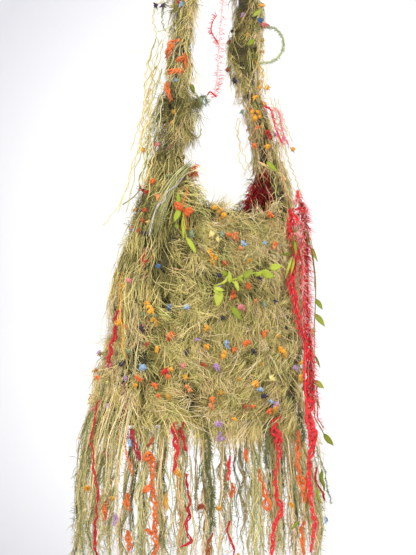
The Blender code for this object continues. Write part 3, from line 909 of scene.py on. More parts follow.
for name, first, last, fullness in (("side_left", 138, 222, 1.0), ("side_right", -42, 42, 0.58)):
    layers = [
        wallPile(first, last, int(tufts * fullness), layer, downward, rng, **changes)
        for tufts, layer, changes in sideLayers
    ]
    layers.append(liningPile(first + 4, last - 4, 150, 0.10, darkTints, rng))
    if name == "side_right":
        layers.append(wallPile(-28, 44, 46, earTufts, downward, rng, topDrop=0.0, bottomZ=-0.458))
    addPiece(name + "_pile", layers, materials["pile"])


strapScatter = {"share": 0.003, "angle": 0.12, "comb": 12, "tuftBend": 0.26, "bend": 0.2}  # inside a tuft
turnAt = {"z": -0.275, "spread": 0.045, "shorter": 0.35}  # the half turn, on the right run
topAt = {"z": -0.075, "over": 0.05, "shorter": 0.45, "under": 0.12, "upper": 0.6}


# Pile round the strap: roots over its whole section, combed down both runs. It is shorter over the top
# and at the half turn, and lies flat under the top, where the strap hangs on its support
def strapPile(tufts, layer, away, between, tints, changes):
    layer = {**layer, **changes, "tints": tints}
    share = rng.uniform(*between, tufts)
    angle = rng.uniform(0, 2 * np.pi, tufts)
    which = np.repeat(np.arange(tufts), layer["perTuft"])
    count, steps = len(which), layer["steps"]
    shares = np.clip(share[which] + rng.normal(0, strapScatter["share"], count), 0.002, 0.998)
    ownAngle = angle[which] + rng.normal(0, strapScatter["angle"], count)
    roots, out, onward = strapPlace(shares, ownAngle, -0.003)
    downRun = onward * np.sign(shares - 0.5)[:, None]
    side = unit(np.cross(out, downRun))
    combed = rng.normal(0, layer["spread"], tufts)[which] + rng.normal(0, strapScatter["comb"], count)
    combed = np.radians(combed)[:, None]
    heading = unit(downRun * np.cos(combed) + side * np.sin(combed) + out * away)
    lengths = rng.uniform(*layer["length"], tufts)[which] * rng.uniform(0.7, 1.15, count)
    atTop = np.clip((roots[:, 2] - topAt["z"]) / topAt["over"], 0, 1)
    nearTurn = np.exp(-(((roots[:, 2] - turnAt["z"]) / turnAt["spread"]) ** 2)) * (roots[:, 0] > 0)
    atTurn = 1 - turnAt["shorter"] * nearTurn
    lengths = lengths * (1 - topAt["shorter"] * atTop) * atTurn
    under = np.where(out[:, 2] < 0.2, topAt["under"], topAt["upper"])
    lifts = rng.uniform(*layer["lift"], count) * (1 - atTop + atTop * under) * atTurn
    bends = rng.normal(0, strapScatter["tuftBend"], tufts)[which] + rng.normal(0, strapScatter["bend"], count)
    paths = fibrePaths(roots, out, heading, lengths, lifts, bends, 0.15 * lengths, 0.1 * lengths, rng, steps)
    ownTints = patchTints(roots * 1.5, angle[which], layer["tints"], rng)
    tuftTint = ownTints[np.searchsorted(which, which)]  # that of its first fibre
    fibreTint = varied(tuftTint, scatter["tint"], rng)
    return tubes(paths, taper(rng.uniform(*layer["width"], count), steps), fibreTint)


warmTints = [0.20, 0.30, 0.93, 0.44, 0.90, 0.52, 0.84, 0.60, 0.95]
greenTints = [0.12, 0.18, 0.24, 0.30, 0.82, 0.86]
groundTints = [0.14, 0.24, 0.32, 0.40]
whole, top = (0.004, 0.996), (0.43, 0.57)  # shares of the run
halfTurn, leftEar = (0.77, 0.92), (0.012, 0.105)
longer = {"perTuft": 11, "length": (0.028, 0.056)}
shorter = {"perTuft": 3, "length": (0.020, 0.045), "steps": 5}
strapLayers = [  # tufts, layer, how far it leans away, where on the run, tints, what else is changed in it
    (270, undercoat, 0.0, whole, groundTints, {"spread": 26, "lift": (0.004, 0.009)}),
    (200, down, 0.0, whole, warmTints + lightTints, {"spread": 45, "lift": (0.006, 0.015)}),
    (264, tufted, 0.0, whole, warmTints, {**longer, "spread": 13, "lift": (0.005, 0.011)}),
    (120, straggling, 0.0, whole, lightTints, {"perTuft": 3, "spread": 10, "lift": (0.006, 0.015)}),
    (60, down, 0.0, halfTurn, warmTints + greenTints, {"perTuft": 8, "spread": 30, "lift": (0.004, 0.008)}),
    (36, tufted, 0.2, top, warmTints, {"perTuft": 9, "spread": 35, "lift": (0.006, 0.010)}),
    (60, straggling, 0.55, whole, lightTints, {**shorter, "spread": 30}),
    (60, tufted, 0.35, leftEar, greenTints, {"perTuft": 9, "spread": 55, "lift": (0.008, 0.015)}),
]
addPiece("strap_pile", [strapPile(*row) for row in strapLayers], materials["pile"])
print("pile made")


# Fringe

fringeRange = [0.08, 0.20, 0.34, 0.44, 0.54, 0.62, 0.70, 0.80, 0.82, 0.89, 0.91, 0.97]
under = {
    "perLock": 5,
    "low": (-1.093, -1.030),  # where the locks end
    "off": -0.009,
    "lead": 0.0,
    "width": (0.0010, 0.0020),
    "lashed": 74,
    "steps": 13,
}
over = {
    "perLock": 4,
    "low": (-1.072, -0.985),
    "off": 0.001,
    "lead": flare["overlayLead"],
    "width": (0.0007, 0.0015),
    "lashed": 84,
    "steps": 12,
}


lockForm = {
    "scatter": 0.42,  # share of the pitch
    "gather": 3.4,  # degrees that the locks draw together
    "every": 12.5,  # degrees from one clump to the next
    "lean": 1.3,  # degrees
    "size": (0.0010, 0.0052),
    "turns": (1.2, 5.0),
    "loose": (0.0006, 0.0030),
    "wind": 16,  # radians that a yarn winds round its lock
    "kink": (0.0003, 0.0016),
    "lash": (0.005, 0.014),
    "lashWidth": (0.0008, 0.0013),
}


# Locks of yarns hanging from a range of angles. A lock's path wanders, and its yarns wind round it.
# Each yarn takes its own part of the path, and short lashes stand off down and aside.
def hangingLocks(first, last, locks, top, kind, rng):
    pitch, steps, lead = (last - first) / locks, kind["steps"], kind["lead"]
    degrees = np.linspace(first, last, locks) + rng.normal(0, lockForm["scatter"] * pitch, locks)
    gathering = lockForm["gather"] * np.sin(2 * np.pi * degrees / lockForm["every"] + 1.0)
    degrees = np.clip(degrees + gathering, first, last)
    top = np.broadcast_to(top, locks)
    low = rng.uniform(*kind["low"], locks)
    lean = rng.normal(0, lockForm["lean"], locks)
    reach = np.clip(rng.normal(-0.003, 0.004, locks), -0.010, 0.003)
    spans = lockForm["size"], lockForm["turns"], (0, 6.3)
    size, turns, phase = (rng.uniform(*span, locks) for span in spans)
    tint = rng.choice(fringeRange, locks)
    loose = rng.uniform(*lockForm["loose"], locks)

    def lockPath(which, t):
        def own(values):
            return values[which][:, None]

        z = own(top) + (own(low) - own(top)) * t
        around = own(degrees) + own(lean) * t
        nearBack = 0.011 * np.clip((186 - around) / 14, 0, 1) * (around > 150) * (lead > 0)
        place = hangingPlace(around, z, kind["off"] - nearBack + own(reach) * t, lead)
        swing = own(size) * np.minimum(1, 5 * t)
        place[..., 0] += swing * np.sin(2 * np.pi * own(turns) * t + own(phase))
        place[..., 1] += swing * np.cos(2 * np.pi * own(turns) * 0.7 * t + own(phase))
        return place

    which = np.repeat(np.arange(locks), kind["perLock"])
    count = len(which)
    start = np.where(rng.uniform(0, 1, count) < 0.6, 0.0, rng.uniform(0, 0.5, count))
    end = rng.uniform(0.72, 1.0, count)
    t = start[:, None] + (end - start)[:, None] * np.linspace(0, 1, steps)
    paths = lockPath(which, t)
    wind = lockForm["wind"]
    wound = rng.uniform(0, 6.3, (count, 1)) + rng.uniform(-wind, wind, (count, 1)) * t
    radius = loose[which][:, None] * rng.uniform(0.3, 1.8, (count, 1)) * (0.5 + t)
    kinks = rng.uniform(*lockForm["kink"], (count, 1))
    kinks = kinks * np.sin(rng.uniform(25, 60, (count, 1)) * t + wound[:, :1])
    paths[..., 0] += radius * np.cos(wound) + kinks
    paths[..., 1] += radius * np.sin(wound)
    tints = varied(tint[which], 0.08, rng)
    yarns = tubes(paths, taper(rng.uniform(*kind["width"], count), steps, 0.5), tints)
    which = np.repeat(np.arange(locks), kind["lashed"])
    count = len(which)
    roots = lockPath(which, rng.uniform(0.02, 0.97, (count, 1)))[:, 0]
    heading = unit(rng.normal(0, 0.8, (count, 3)) + np.array([0, 0, -0.35]))
    lengths = rng.uniform(*lockForm["lash"], count) * rng.uniform(0.7, 1.5, locks)[which]
    paths = sprung(roots, heading, lengths, 0.3)
    tints = varied(tint[which], 0.1, rng)
    return [yarns, tubes(paths, taper(rng.uniform(*lockForm["lashWidth"], count), 3), tints)]


# Short fibres of three points from roots along their headings, drooping by a share of their lengths
def sprung(roots, heading, lengths, droop):
    t = np.linspace(0, 1, 3)[None, :, None]
    paths = roots[:, None] + heading[:, None] * lengths[:, None, None] * t
    paths[..., 2] -= droop * lengths[:, None] * t[..., 0] ** 2
    return paths


underSets = {
    "fringe_front": (224, 316, 69),
    "fringe_back": (44, 136, 32),
    "fringe_left": (142, 218, 20),
    "fringe_right": (-38, 38, 22),
}
overSets = {"side_fringe_left": (162, 214, 26), "side_fringe_right": (-14, 33, 20)}
for name, (first, last, locks) in {**underSets, **overSets}.items():
    if name in underSets:
        parts = hangingLocks(first, last, locks, baseZ + 0.004, under, rng)
    else:
        parts = hangingLocks(first, last, locks, rng.uniform(-0.60, -0.445, locks), over, rng)
    addPiece(name + "_yarns", parts, materials["fringe"], (name,))
print("fringe made")


# Ribbons, leaves and slubs


finestLash, fineLash, softLash = (0.0005, 0.0008), (0.0007, 0.0011), (0.0007, 0.0012)
thinLash, midLash, wideLash = (0.0008, 0.0012), (0.0008, 0.0013), (0.0009, 0.0014)


# Lashes: short fibres leaving a path along one way, spread by chance, curling and drooping
def lashes(path, count, length, width, way, spread, tints, rng, droop=0.3, first=0.0, last=1.0):
    roots = through(path, np.sort(rng.uniform(first, last, count)))
    heading = unit(np.asarray(way, float) + rng.normal(0, spread, (count, 3)))
    lengths = rng.uniform(*length, count)[:, None, None]
    t = np.linspace(0, 1, 3)[None, :, None]
    curl = unit(rng.normal(0, 1, (count, 3)))
    paths = roots[:, None] + heading[:, None] * lengths * t
    paths = paths + curl[:, None] * lengths * 0.25 * t**2
    paths[..., 2] -= (droop * lengths * t**2)[..., 0]
    return tubes(paths, taper(rng.uniform(*width, count), 3, 0.4), rng.choice(tints, count))


def tape(path, width, tint, thin=0.25, sides=6, lumpy=0.0):
    widths = spreadOver(width, len(path))
    if lumpy:
        run = runAlong(path)
        lumps = 0.6 * np.sin(run / 0.0021 + 40 * widths[0]) + 0.4 * np.sin(run / 0.0058)
        widths = widths * (1 + lumpy * lumps)
    return tubes(path[None], widths[None], np.array([tint]), sides, thin, -viewInto)


# Strands weaving over and under each other along a path, within its widths
def strands(path, widths, tint, count, rng):
    side = unit(np.cross(np.gradient(path, axis=0), viewInto))
    run, wide = runAlong(path), spreadOver(widths, len(path))
    woven = []
    for _ in range(count):
        aside = 0.42 * wide * np.sin(run / rng.uniform(0.003, 0.011) + rng.uniform(0, 6.3))
        toward = 0.22 * wide * np.cos(run / rng.uniform(0.005, 0.009) + rng.uniform(0, 6.3))
        own = path + side * aside[:, None] - viewInto * toward[:, None]
        woven.append(tape(own, 0.0009 + 0.26 * wide, tint, 0.7, sides=4, lumpy=0.3))
    return woven


# Ladder yarn: two rails beside a path and rungs from one to the other
def ladder(path, half, rail, rungs, tints, rng):
    side = unit(np.cross(np.gradient(path, axis=0), viewInto))
    rails = [tape(path + side * half * way, rail, tints[0], 1.0, sides=4) for way in (-1, 1)]
    share = np.sort(rng.uniform(0.02, 0.98, rungs))
    middle, across = through(path, share), through(side, share)
    t = np.linspace(-1.25, 1.25, 4)[None, :, None]
    paths = middle[:, None] + across[:, None] * half * t + rng.normal(0, 0.15 * half, (rungs, 1, 3))
    rails.append(tubes(paths, np.full((rungs, 4), rail * 0.9), rng.choice(tints, rungs)))
    return rails


leafShape = {"rows": 7, "columns": 5, "thick": 0.045, "arch": 0.10, "fold": 0.22}


# A leaf: width grows and shrinks along it as a bent half sine, folded up from its middle rib
def leafMesh():
    rows, columns = leafShape["rows"], leafShape["columns"]
    v, u = np.meshgrid(np.linspace(0, 1, rows), np.linspace(-1, 1, columns), indexing="ij")
    half = 0.5 * np.sin(np.pi * np.clip(v, 0.015, 0.985) ** 0.8) ** 0.9
    arch = leafShape["arch"] * np.sin(np.pi * v) + leafShape["fold"] * np.abs(u) * half
    top = np.stack([u * half, v, arch], axis=-1)
    verts, faces, _ = clothBetween(top[:, ::-1], top[:, ::-1] - np.array([0, 0, leafShape["thick"]]))
    rib = np.tile(1 - np.abs(u[:, ::-1]).ravel(), 2)
    uv = np.stack([0.10 * rib, np.tile(v.ravel(), 2) * 0.96 + 0.02], axis=-1)
    return verts, faces, uv


# Each leaf: a place, the way to its tip, the way it faces, its length and width
def leaves(places, tips, faces, lengths, widths, tints):
    forward = unit(tips)
    side = unit(np.cross(forward, faces))
    ways = np.stack([side, forward, np.cross(side, forward)], axis=1)
    sizes = np.stack([widths, lengths, lengths * 0.35], axis=1)
    return copies(*leafMesh(), places, ways, sizes, tints * 0.85)


# Leaves by the photo: base, tip, width and tint. They lie on the pouch at a stand-off, or in the air
# at a depth
def seenLeaves(rows, off=None, depth=0.0):
    rows = np.array(rows, float)
    if off is None:
        places = airPlaces(rows[:, :2], np.full(len(rows), depth))
    else:
        degrees, z = np.array([seenPlace(column, row, off) for column, row in rows[:, :2]]).T
        places = hangingPlace(degrees, z, off)
    upright = np.array([0, 0, 1.0])
    across, rise = (rows[:, 2] - rows[:, 0]) * photo["scale"], (rows[:, 1] - rows[:, 3]) * photo["scale"]
    tips = across[:, None] * viewRight + rise[:, None] * upright - 0.0022 * viewInto
    order = np.arange(len(rows))[:, None]
    faces = -viewInto + 0.45 * np.sin(7.0 * order) * viewRight + 0.3 * np.cos(5.0 * order) * upright
    return leaves(places, tips, faces, np.hypot(across, rise), rows[:, 4] * photo["scale"], rows[:, 5])


def seenCord(pixels, count, width, tint, off, thin=1.0):
    return tape(seenPath(pixels, count, off), width, tint, thin, sides=5)


# Crimson bundle at the front right corner: three lashed ribbons, flounces at its head, a tail and a curl
# The highest tints pick the pale pinks that paint the crimson's highlights
crimsonTints = np.array([0.30, 0.46, 0.54, 0.68, 0.82, 0.90, 0.97, 1.0])
bundle = {
    "right": [(301, 200), (306, 230), (307, 290), (309, 340), (311, 390), (311, 440)],
    "left": [(291, 207), (291, 230), (296, 252), (294, 268), (290, 280), (294, 296), (298, 318), (304, 341)],
    "middle": [(301, 218), (301, 250), (302, 285), (305, 330)],
    "core": [(305, 322), (305, 345), (304, 380), (306, 415), (307, 445)],
    "tail": [(311, 424), (308, 466), (310, 485), (312, 505), (314, 520), (310, 547)],
    "off": 0.020,
}
rightBand = seenPath(bundle["right"], 90, bundle["off"])
leftBand = seenPath(bundle["left"], 44, bundle["off"] - 0.002)
middleBand = seenPath(bundle["middle"], 26, bundle["off"] + 0.002)
tail = seenPath(bundle["tail"], 56, bundle["off"], flare["overlayLead"])
crimson = [
    *strands(rightBand, (0.006, 0.007, 0.006, 0.010, 0.0125, 0.0120), 0.5, 7, rng),
    seenCord(bundle["core"], 60, (0.002, 0.0045, 0.004, 0.005, 0.003), 0.42, 0.021, 0.5),
    *strands(tail, (0.0135, 0.007, 0.008, 0.006, 0.008, 0.003), 0.48, 4, rng),
    *strands(leftBand, (0.008, 0.012, 0.007, 0.008, 0.014, 0.009, 0.007, 0.004), 0.42, 5, rng),
    *strands(middleBand, (0.005, 0.006, 0.004), 0.62, 2, rng),
]
bandLashes = [  # path, count, lengths, widths, way in view, spread, what differs
    (rightBand, 900, (0.008, 0.019), midLash, (0.75, -0.35, 0.45), 0.45, {"last": 0.97}),
    (rightBand, 150, (0.006, 0.012), midLash, (-0.5, -0.3, 0.8), 0.5, {}),
    (middleBand, 300, (0.008, 0.016), midLash, (0.2, -0.6, 0.7), 0.6, {}),
    (leftBand, 420, (0.007, 0.015), wideLash, (-0.1, -0.7, 0.7), 0.55, {"tints": crimsonTints[:5]}),
    (tail, 150, (0.005, 0.011), fineLash, (0.8, -0.3, 0.4), 0.5, {"first": 0.25}),
    (rightBand, 260, (0.003, 0.008), wideLash, (0, -0.2, 0.3), 0.8, {"first": 0.7}),
    (tail, 90, (0.002, 0.005), fineLash, (-0.6, -0.2, 0.1), 0.6, {}),
]
for path, count, length, width, way, spread, changes in bandLashes:
    changes = {"tints": crimsonTints, "rng": rng, **changes}
    crimson.append(lashes(path, count, length, width, inView(*way), spread, **changes))
for column, row, tipColumn, tipRow in (
    (292, 203, 308, 195),
    (294, 209, 312, 214),
    (292, 219, 311, 230),
    (296, 198, 303, 188),
    (299, 212, 310, 203),
    (291, 232, 304, 242),
    (294, 226, 297, 214),
):
    bend = (0.5 * (column + tipColumn), 0.5 * (row + tipRow) - 2)
    flounce = seenPath([(column, row), bend, (tipColumn, tipRow)], 8, 0.022)
    crimson += strands(flounce, (0.006, 0.009, 0.006, 0.002), 0.5 if column > 293 else 0.92, 3, rng)
    way = inView(0.2, -0.8, 0.5)
    crimson.append(lashes(flounce, 46, (0.006, 0.013), midLash, way, 0.55, crimsonTints, rng))
curl = seenPath([(322, 386), (330, 391), (325, 400), (331, 409), (326, 419), (332, 429)], 30, 0.030)
crimson.append(tape(curl, 0.0016, 0.5, 1.0, sides=4))
crimson.append(lashes(curl, 110, (0.005, 0.011), (0.0006, 0.0009), inView(0, 0, 0.3), 0.8, crimsonTints, rng))
addPiece("ribbon_bundle", crimson, materials["crimson"], ("ribbon_tassel",))

# Leaf ribbons. Each leaf: column and row of its base and of its tip, width in pixels, tint
onPile = 0.021
rightLeaves = [
    (319, 299, 326, 310, 5, 0.55),
    (321, 314, 331, 327, 6, 0.6),
    (323, 327, 317, 342, 5.5, 0.55),
    (325, 355, 331, 369, 2.6, 0.25),
    (328, 381, 338, 389, 6, 0.6),
    (333, 394, 339, 410, 2.6, 0.25),
    (336, 434, 346, 446, 6, 0.55),
    (310, 234, 308, 246, 3, 0.4),
    (313, 246, 319, 262, 3, 0.7),
]
frontLeaves = [
    (213, 287, 224, 290, 4, 0.9),
    (219, 288, 217, 306, 9.5, 0.95),
    (213, 289, 219, 293, 3, 0.8),
    (229, 283, 229, 271, 5, 0.85),
    (234, 280, 238, 291, 4, 0.85),
    (226, 276, 222, 270, 5, 0.35),
    (242, 278, 252, 270, 7, 0.35),
    (253, 276, 262, 271, 4, 0.7),
    (259, 271, 273, 277, 8.5, 0.75),
    (268, 268, 281, 266, 7, 0.75),
    (231, 305, 241, 319, 7, 0.30),
    (236, 276, 243, 282, 4, 0.4),
]
leftLeaves = [
    (180, 206, 179, 195, 4, 0.5),
    (181, 211, 175, 224, 6, 0.65),
    (187, 238, 197, 255, 5, 0.75),
    (184, 226, 184, 241, 3, 0.7),
]
bundleLeaves = [
    (292, 256, 284, 280, 2.6, 0.85),
    (294, 258, 290, 276, 2.4, 0.75),
    (295, 226, 291, 250, 4, 0.08),
    (291, 253, 280, 255, 3, 0.05),
    (294, 240, 296, 256, 3, 0.35),
]
strapLeaves = [
    (252, 18, 262, 10, 4, 0.5),
    (247, 46, 255, 40, 5, 0.35),
    (183, 33, 191, 28, 5, 0.4),
    (190, 84, 195, 95, 5, 0.45),
    (266, 162, 277, 172, 5, 0.45),
    (176, 8, 171, 16, 3, 0.2),
]
stems = seenPath([(308, 228), (316, 270), (322, 320), (326, 360), (334, 405), (340, 445)], 60, 0.026)
frontStem = [(213, 286), (221, 283), (228, 278), (234, 279), (246, 274), (262, 272)]
vines = {
    "right": [
        tape(stems, 0.0017, 0.45, 0.6, sides=4),
        seenCord([(305, 225), (311, 245), (316, 275)], 20, 0.0016, 0.7, 0.024),
        seenCord([(311, 235), (317, 255), (318, 290)], 20, 0.0014, 0.55, 0.024),
        seenLeaves(rightLeaves, 0.026),
    ],
    "front": [
        seenCord(frontStem, 30, 0.0030, 0.85, onPile, 0.4),
        seenCord([(223, 283), (229, 279), (236, 286), (237, 291)], 12, 0.0034, 0.95, onPile, 0.4),
        seenCord([(228, 272), (226, 279), (222, 284)], 12, 0.0034, 0.95, onPile, 0.4),
        seenLeaves(frontLeaves, onPile),
    ],
    "left": [
        seenCord([(184, 214), (185, 224), (187, 238), (194, 251)], 20, 0.0028, 0.75, onPile, 0.4),
        seenCord([(184, 218), (183, 228), (185, 240)], 14, 0.0022, 0.7, onPile, 0.4),
        seenLeaves(leftLeaves, onPile),
        seenLeaves(bundleLeaves, 0.024),
        seenLeaves([(176, 226, 180, 230, 4, 0.2)], 0.016),
    ],
}
for place, parts in vines.items():
    addPiece("vine_" + place, parts, materials["leaf"], ("leaf_vine_" + place,))
addPiece("strap_leaves", [seenLeaves(strapLeaves, depth=-0.012)], materials["leaf"])

# Orange bow of ladder yarn. Each loop: how far it reaches, how far it rises, how wide it is
bowMiddle = hangingPlace(*np.array(seenPlace(184, 212, onPile))[:, None], onPile)[0]
bowLoops = [
    (-0.0120, 0.0100, 0.0050),
    (-0.0105, 0.0030, 0.0040),
    (0.0140, -0.0010, 0.0062),
    (0.0090, -0.0070, 0.0035),
]
orange = noveltyTint("orange")
bow = []
for reach, rise, wide in bowLoops:
    t = np.linspace(0, 1, 14)[:, None]
    aside = inView(-rise * 0.16, reach * 0.16) * np.sin(2 * np.pi * t)
    loop = bowMiddle + inView(reach, rise) * np.sin(np.pi * t) + aside
    loop = loop - viewInto * 0.003 * np.sin(np.pi * t)
    bow.append(tape(loop, (0.001, wide, 0.0014, wide, 0.001), orange, 0.35))
    bow.append(lashes(loop, 60, (0.002, 0.0045), fineLash, inView(0, 0, 0.5), 0.8, [orange], rng))
for pixels in ([(186, 188), (188, 196), (184, 204), (184, 211)], [(184, 213), (187, 222), (186, 233)]):
    bow.append(seenCord(pixels, 14, 0.0018, orange, onPile))
knot = np.array([bowMiddle, bowMiddle + 0.001])
bow.append(lashes(knot, 40, (0.003, 0.005), (0.001, 0.0014), inView(0, 0, 1), 0.6, [orange], rng))
addPiece("bow_orange", bow, materials["novelty"], ("bow",))

# Pink ladder yarn inside the strap's loop, and the green loop on its right run
inLoop = [(216, -115), (217, -100), (221, -70), (225, -30), (223, 0), (219, 45), (217, 80), (213, 100)]
ladderPath = airPath(inLoop, 70, -0.033)
sidePiece = airPath([(219, 48), (214, 40), (211, 33), (213, 24), (217, 18)], 20, -0.034)
endPiece = airPath([(207, 98), (210, 94), (214, 97), (217, 99)], 12, -0.034)
darkest = crimsonTints[:5]
ladderParts = [
    *ladder(ladderPath, 0.0007, 0.0010, 60, [0.95, 0.7, 0.85], rng),
    tape(sidePiece, 0.0018, 0.4, 1.0, sides=4),
    lashes(sidePiece, 90, (0.004, 0.010), (0.0009, 0.0013), viewRight * -0.8, 0.7, crimsonTints, rng, 0.1),
    lashes(ladderPath, 130, (0.006, 0.015), thinLash, viewRight, 0.4, darkest, rng, 0.1, 0.35),
    lashes(ladderPath, 90, (0.003, 0.008), thinLash, -viewRight, 0.5, darkest, rng, 0.1, 0.35),
    tape(endPiece, 0.0024, 0.3, 0.6),
]
addPiece("ladder_yarn_pink", ladderParts, materials["crimson"], ("ladder_yarn",))
loopPixels = [(256, 28), (263, 26), (276, 27), (284, 38), (282, 51), (272, 60), (258, 62)]
loopPath = airPath(loopPixels, 60, [0.004, 0.008, 0.015, 0.021, 0.021, 0.015, 0.008])
loopTints = [0.45, 0.62, 0.8, 0.97]
loopParts = [
    tape(loopPath, 0.0026, 0.72, 1.0, sides=5, lumpy=0.4),
    lashes(loopPath, 520, (0.0025, 0.006), (0.0010, 0.0016), (0, 0, 0.1), 1.0, loopTints, rng),
]
addPiece("yarn_loop_green", loopParts, materials["boucle"], ("yarn_loop",))


# Slubs: rounded knobs lying on the pile, each with short fibres fanning out of it. Lengths and widths
# are shares of a slub's size
slubForm = {
    "bow": 0.5,
    "length": (0.65, 1.0),
    "plump": (0.38, 0.66),
    "hairs": 11,
    "hair": (0.36, 0.74),
    "hairWidth": (0.12, 0.25),
}


def slubs(places, outs, sizes, tints, rng):
    count = len(places)
    way = rng.normal(0, 1, (count, 3))
    way = unit(way - 0.85 * (way * outs).sum(1, keepdims=True) * outs)
    t = np.linspace(-0.5, 0.5, 5)[None, :, None]
    bow = np.cross(outs, way)[:, None] * rng.normal(0, slubForm["bow"], (count, 1, 1)) * t**2
    long = (sizes * rng.uniform(*slubForm["length"], count))[:, None, None]
    knobs = places[:, None] + (way[:, None] * t + bow) * long
    plump = np.array([1, 0.85, 1.0, 0.8, 1])[None] * (sizes * rng.uniform(*slubForm["plump"], count))[:, None]
    parts = [tubes(knobs, plump, tints, 6, 0.8, outs[:, None])]
    which = np.repeat(np.arange(count), slubForm["hairs"])
    fan = rng.normal(0, 0.8, (len(which), 3)) + way[which] * rng.normal(0, 0.9, (len(which), 1))
    heading = unit(outs[which] * 0.3 + fan)
    lengths = sizes[which] * rng.uniform(*slubForm["hair"], len(which))
    paths = sprung(places[which], heading, lengths, 0.2)
    widths = sizes[which] * rng.uniform(*slubForm["hairWidth"], len(which))
    parts.append(tubes(paths, widths[:, None] * np.array([1, 1.2, 0.3])[None], tints[which]))
    return gathered(parts)


# Slubs that the photo shows, by column and row
seenSlubs = {
    "sky": [(262, 243), (147, 362), (226, 341), (256, 386), (187, 305), (241, 244), (268, 398)],
    "blue": [(171, 305), (161, 266)],
    "lavender": [(197, 337), (294, 366), (216, 363), (216, 416), (275, 402), (221, 432), (217, 285)],
    "yellow": [(211, 235), (217, 240), (268, 376), (105, 378)],
    "gold": [(152, 305), (157, 317), (205, 328), (223, 353), (252, 380), (273, 407), (281, 350),
        (299, 376), (218, 213), (211, 255), (118, 285), (247, 260), (121, 320), (207, 344), (276, 335),
        (299, 362), (173, 364), (170, 390), (221, 211), (184, 228), (259, 362), (232, 413), (205, 343),
        (238, 376), (214, 209), (223, 216), (219, 221), (209, 252), (214, 258), (212, 262), (154, 309),
        (150, 302), (159, 320), (206, 325), (224, 350), (283, 353), (279, 347), (274, 404), (297, 379),
        (160, 345), (186, 372), (220, 388)],
    "orange": [(231, 236), (271, 244), (171, 333), (234, 347), (245, 341), (264, 330), (142, 372),
        (170, 371), (188, 381), (161, 389), (211, 394), (239, 248), (267, 214), (156, 184), (289, 241),
        (232, 295), (248, 341), (210, 400), (266, 407), (250, 402), (234, 236), (157, 379), (228, 235),
        (236, 239), (291, 245), (287, 237), (270, 247), (173, 331), (144, 374), (190, 384), (262, 333),
        (246, 285), (255, 300)],
    "red": [(142, 194), (147, 262), (171, 335), (167, 366)],
    "pink": [(239, 306), (134, 280), (110, 309), (97, 361), (184, 361)],
    "navy": [(262, 393), (272, 300), (282, 327), (218, 275), (257, 278), (222, 316), (187, 348),
        (253, 349)],
    "teal": [(221, 235), (262, 303), (192, 235)],
    "rust": [(149, 212), (146, 222), (224, 263), (141, 232), (203, 361), (243, 402), (150, 340),
        (232, 292)],
    "mint": [(157, 313), (170, 178)],
}
slubPlaces, slubOuts, slubTints = [], [], []
for colour, pixels in seenSlubs.items():
    degrees, z = np.array([seenPlace(column, row, 0.013) for column, row in pixels]).T
    slubPlaces += list(wallPlace(degrees, z, 0.0165))
    slubOuts += list(wallWays(degrees, z)[0])
    worn = {"orange": "peach", "gold": "honey"}.get(colour, colour)  # every third knob is paler
    slubTints += [noveltyTint(worn if k % 3 == 2 else colour) for k in range(len(pixels))]
commonNames = "gold honey orange peach peach lavender sky navy navy pink yellow rust rust mint"
common = [noveltyTint(name) for name in commonNames.split()]
for first, last, count in ((38, 222, 105), (-42, 38, 40)):
    degrees, z = spreadPlaces(first, last, 0.01, baseZ + 0.01, count, rng)
    slubPlaces += list(wallPlace(degrees, z, 0.012))
    slubOuts += list(wallWays(degrees, z)[0])
    slubTints += list(rng.choice(common, count))
slubPlaces, slubOuts, slubTints = np.array(slubPlaces), np.array(slubOuts), np.array(slubTints)
slubSizes = rng.uniform(0.0088, 0.0148, len(slubPlaces))
pouchKnobs = slubs(slubPlaces, slubOuts, slubSizes, slubTints, rng)
addPiece("pouch_slubs", [pouchKnobs], materials["novelty"])

# Slubs and short tapes on the strap, by the photo and by chance
strapSpots = {
    "orange": [(171, 52), (176, 77), (186, 66), (168, 92), (258, 127), (254, 145), (180, 45)],
    "gold": [(173, 125), (252, 112), (258, 112), (255, 118), (260, 116), (260, 87), (267, 87), (255, 97),
        (144, 152), (187, 104), (268, 146), (293, 148), (262, 5)],
    "pink": [(158, 147), (263, 24), (266, 25)],
    "red": [(177, 3), (179, 6), (142, 190), (268, 132), (270, 136)],
    "blue": [(259, 20), (262, 20)],
    "lavender": [(179, 166), (181, 164), (277, 134), (284, 138)],
    "navy": [(157, 11), (164, 11), (186, 111), (183, 160)],
    "teal": [(242, 112), (201, 104)],
}
places, tints = [], []
for colour, pixels in strapSpots.items():
    columns = [column for column, _ in pixels]
    depths = np.interp(columns, [140, 200, 235, 300], [-0.062, -0.048, -0.014, 0.018])
    places += list(airPlaces(pixels, depths))
    tints += [noveltyTint(colour)] * len(pixels)
share = rng.uniform(0.02, 0.98, 66)
roots, outs, _ = strapPlace(share, rng.uniform(0, 2 * np.pi, 66), 0.006)
keep = (roots[:, 2] < -0.05) | (outs[:, 2] > 0.1)
places += list(roots[keep])
tints += list(rng.choice(common, keep.sum()))
places, tints = np.array(places), np.array(tints)
outs = np.broadcast_to(-viewInto, places.shape)
strapKnobs = slubs(places, outs, rng.uniform(0.008, 0.013, len(places)), tints, rng)
addPiece("strap_slubs", [strapKnobs], materials["novelty"])
print("slubs made")

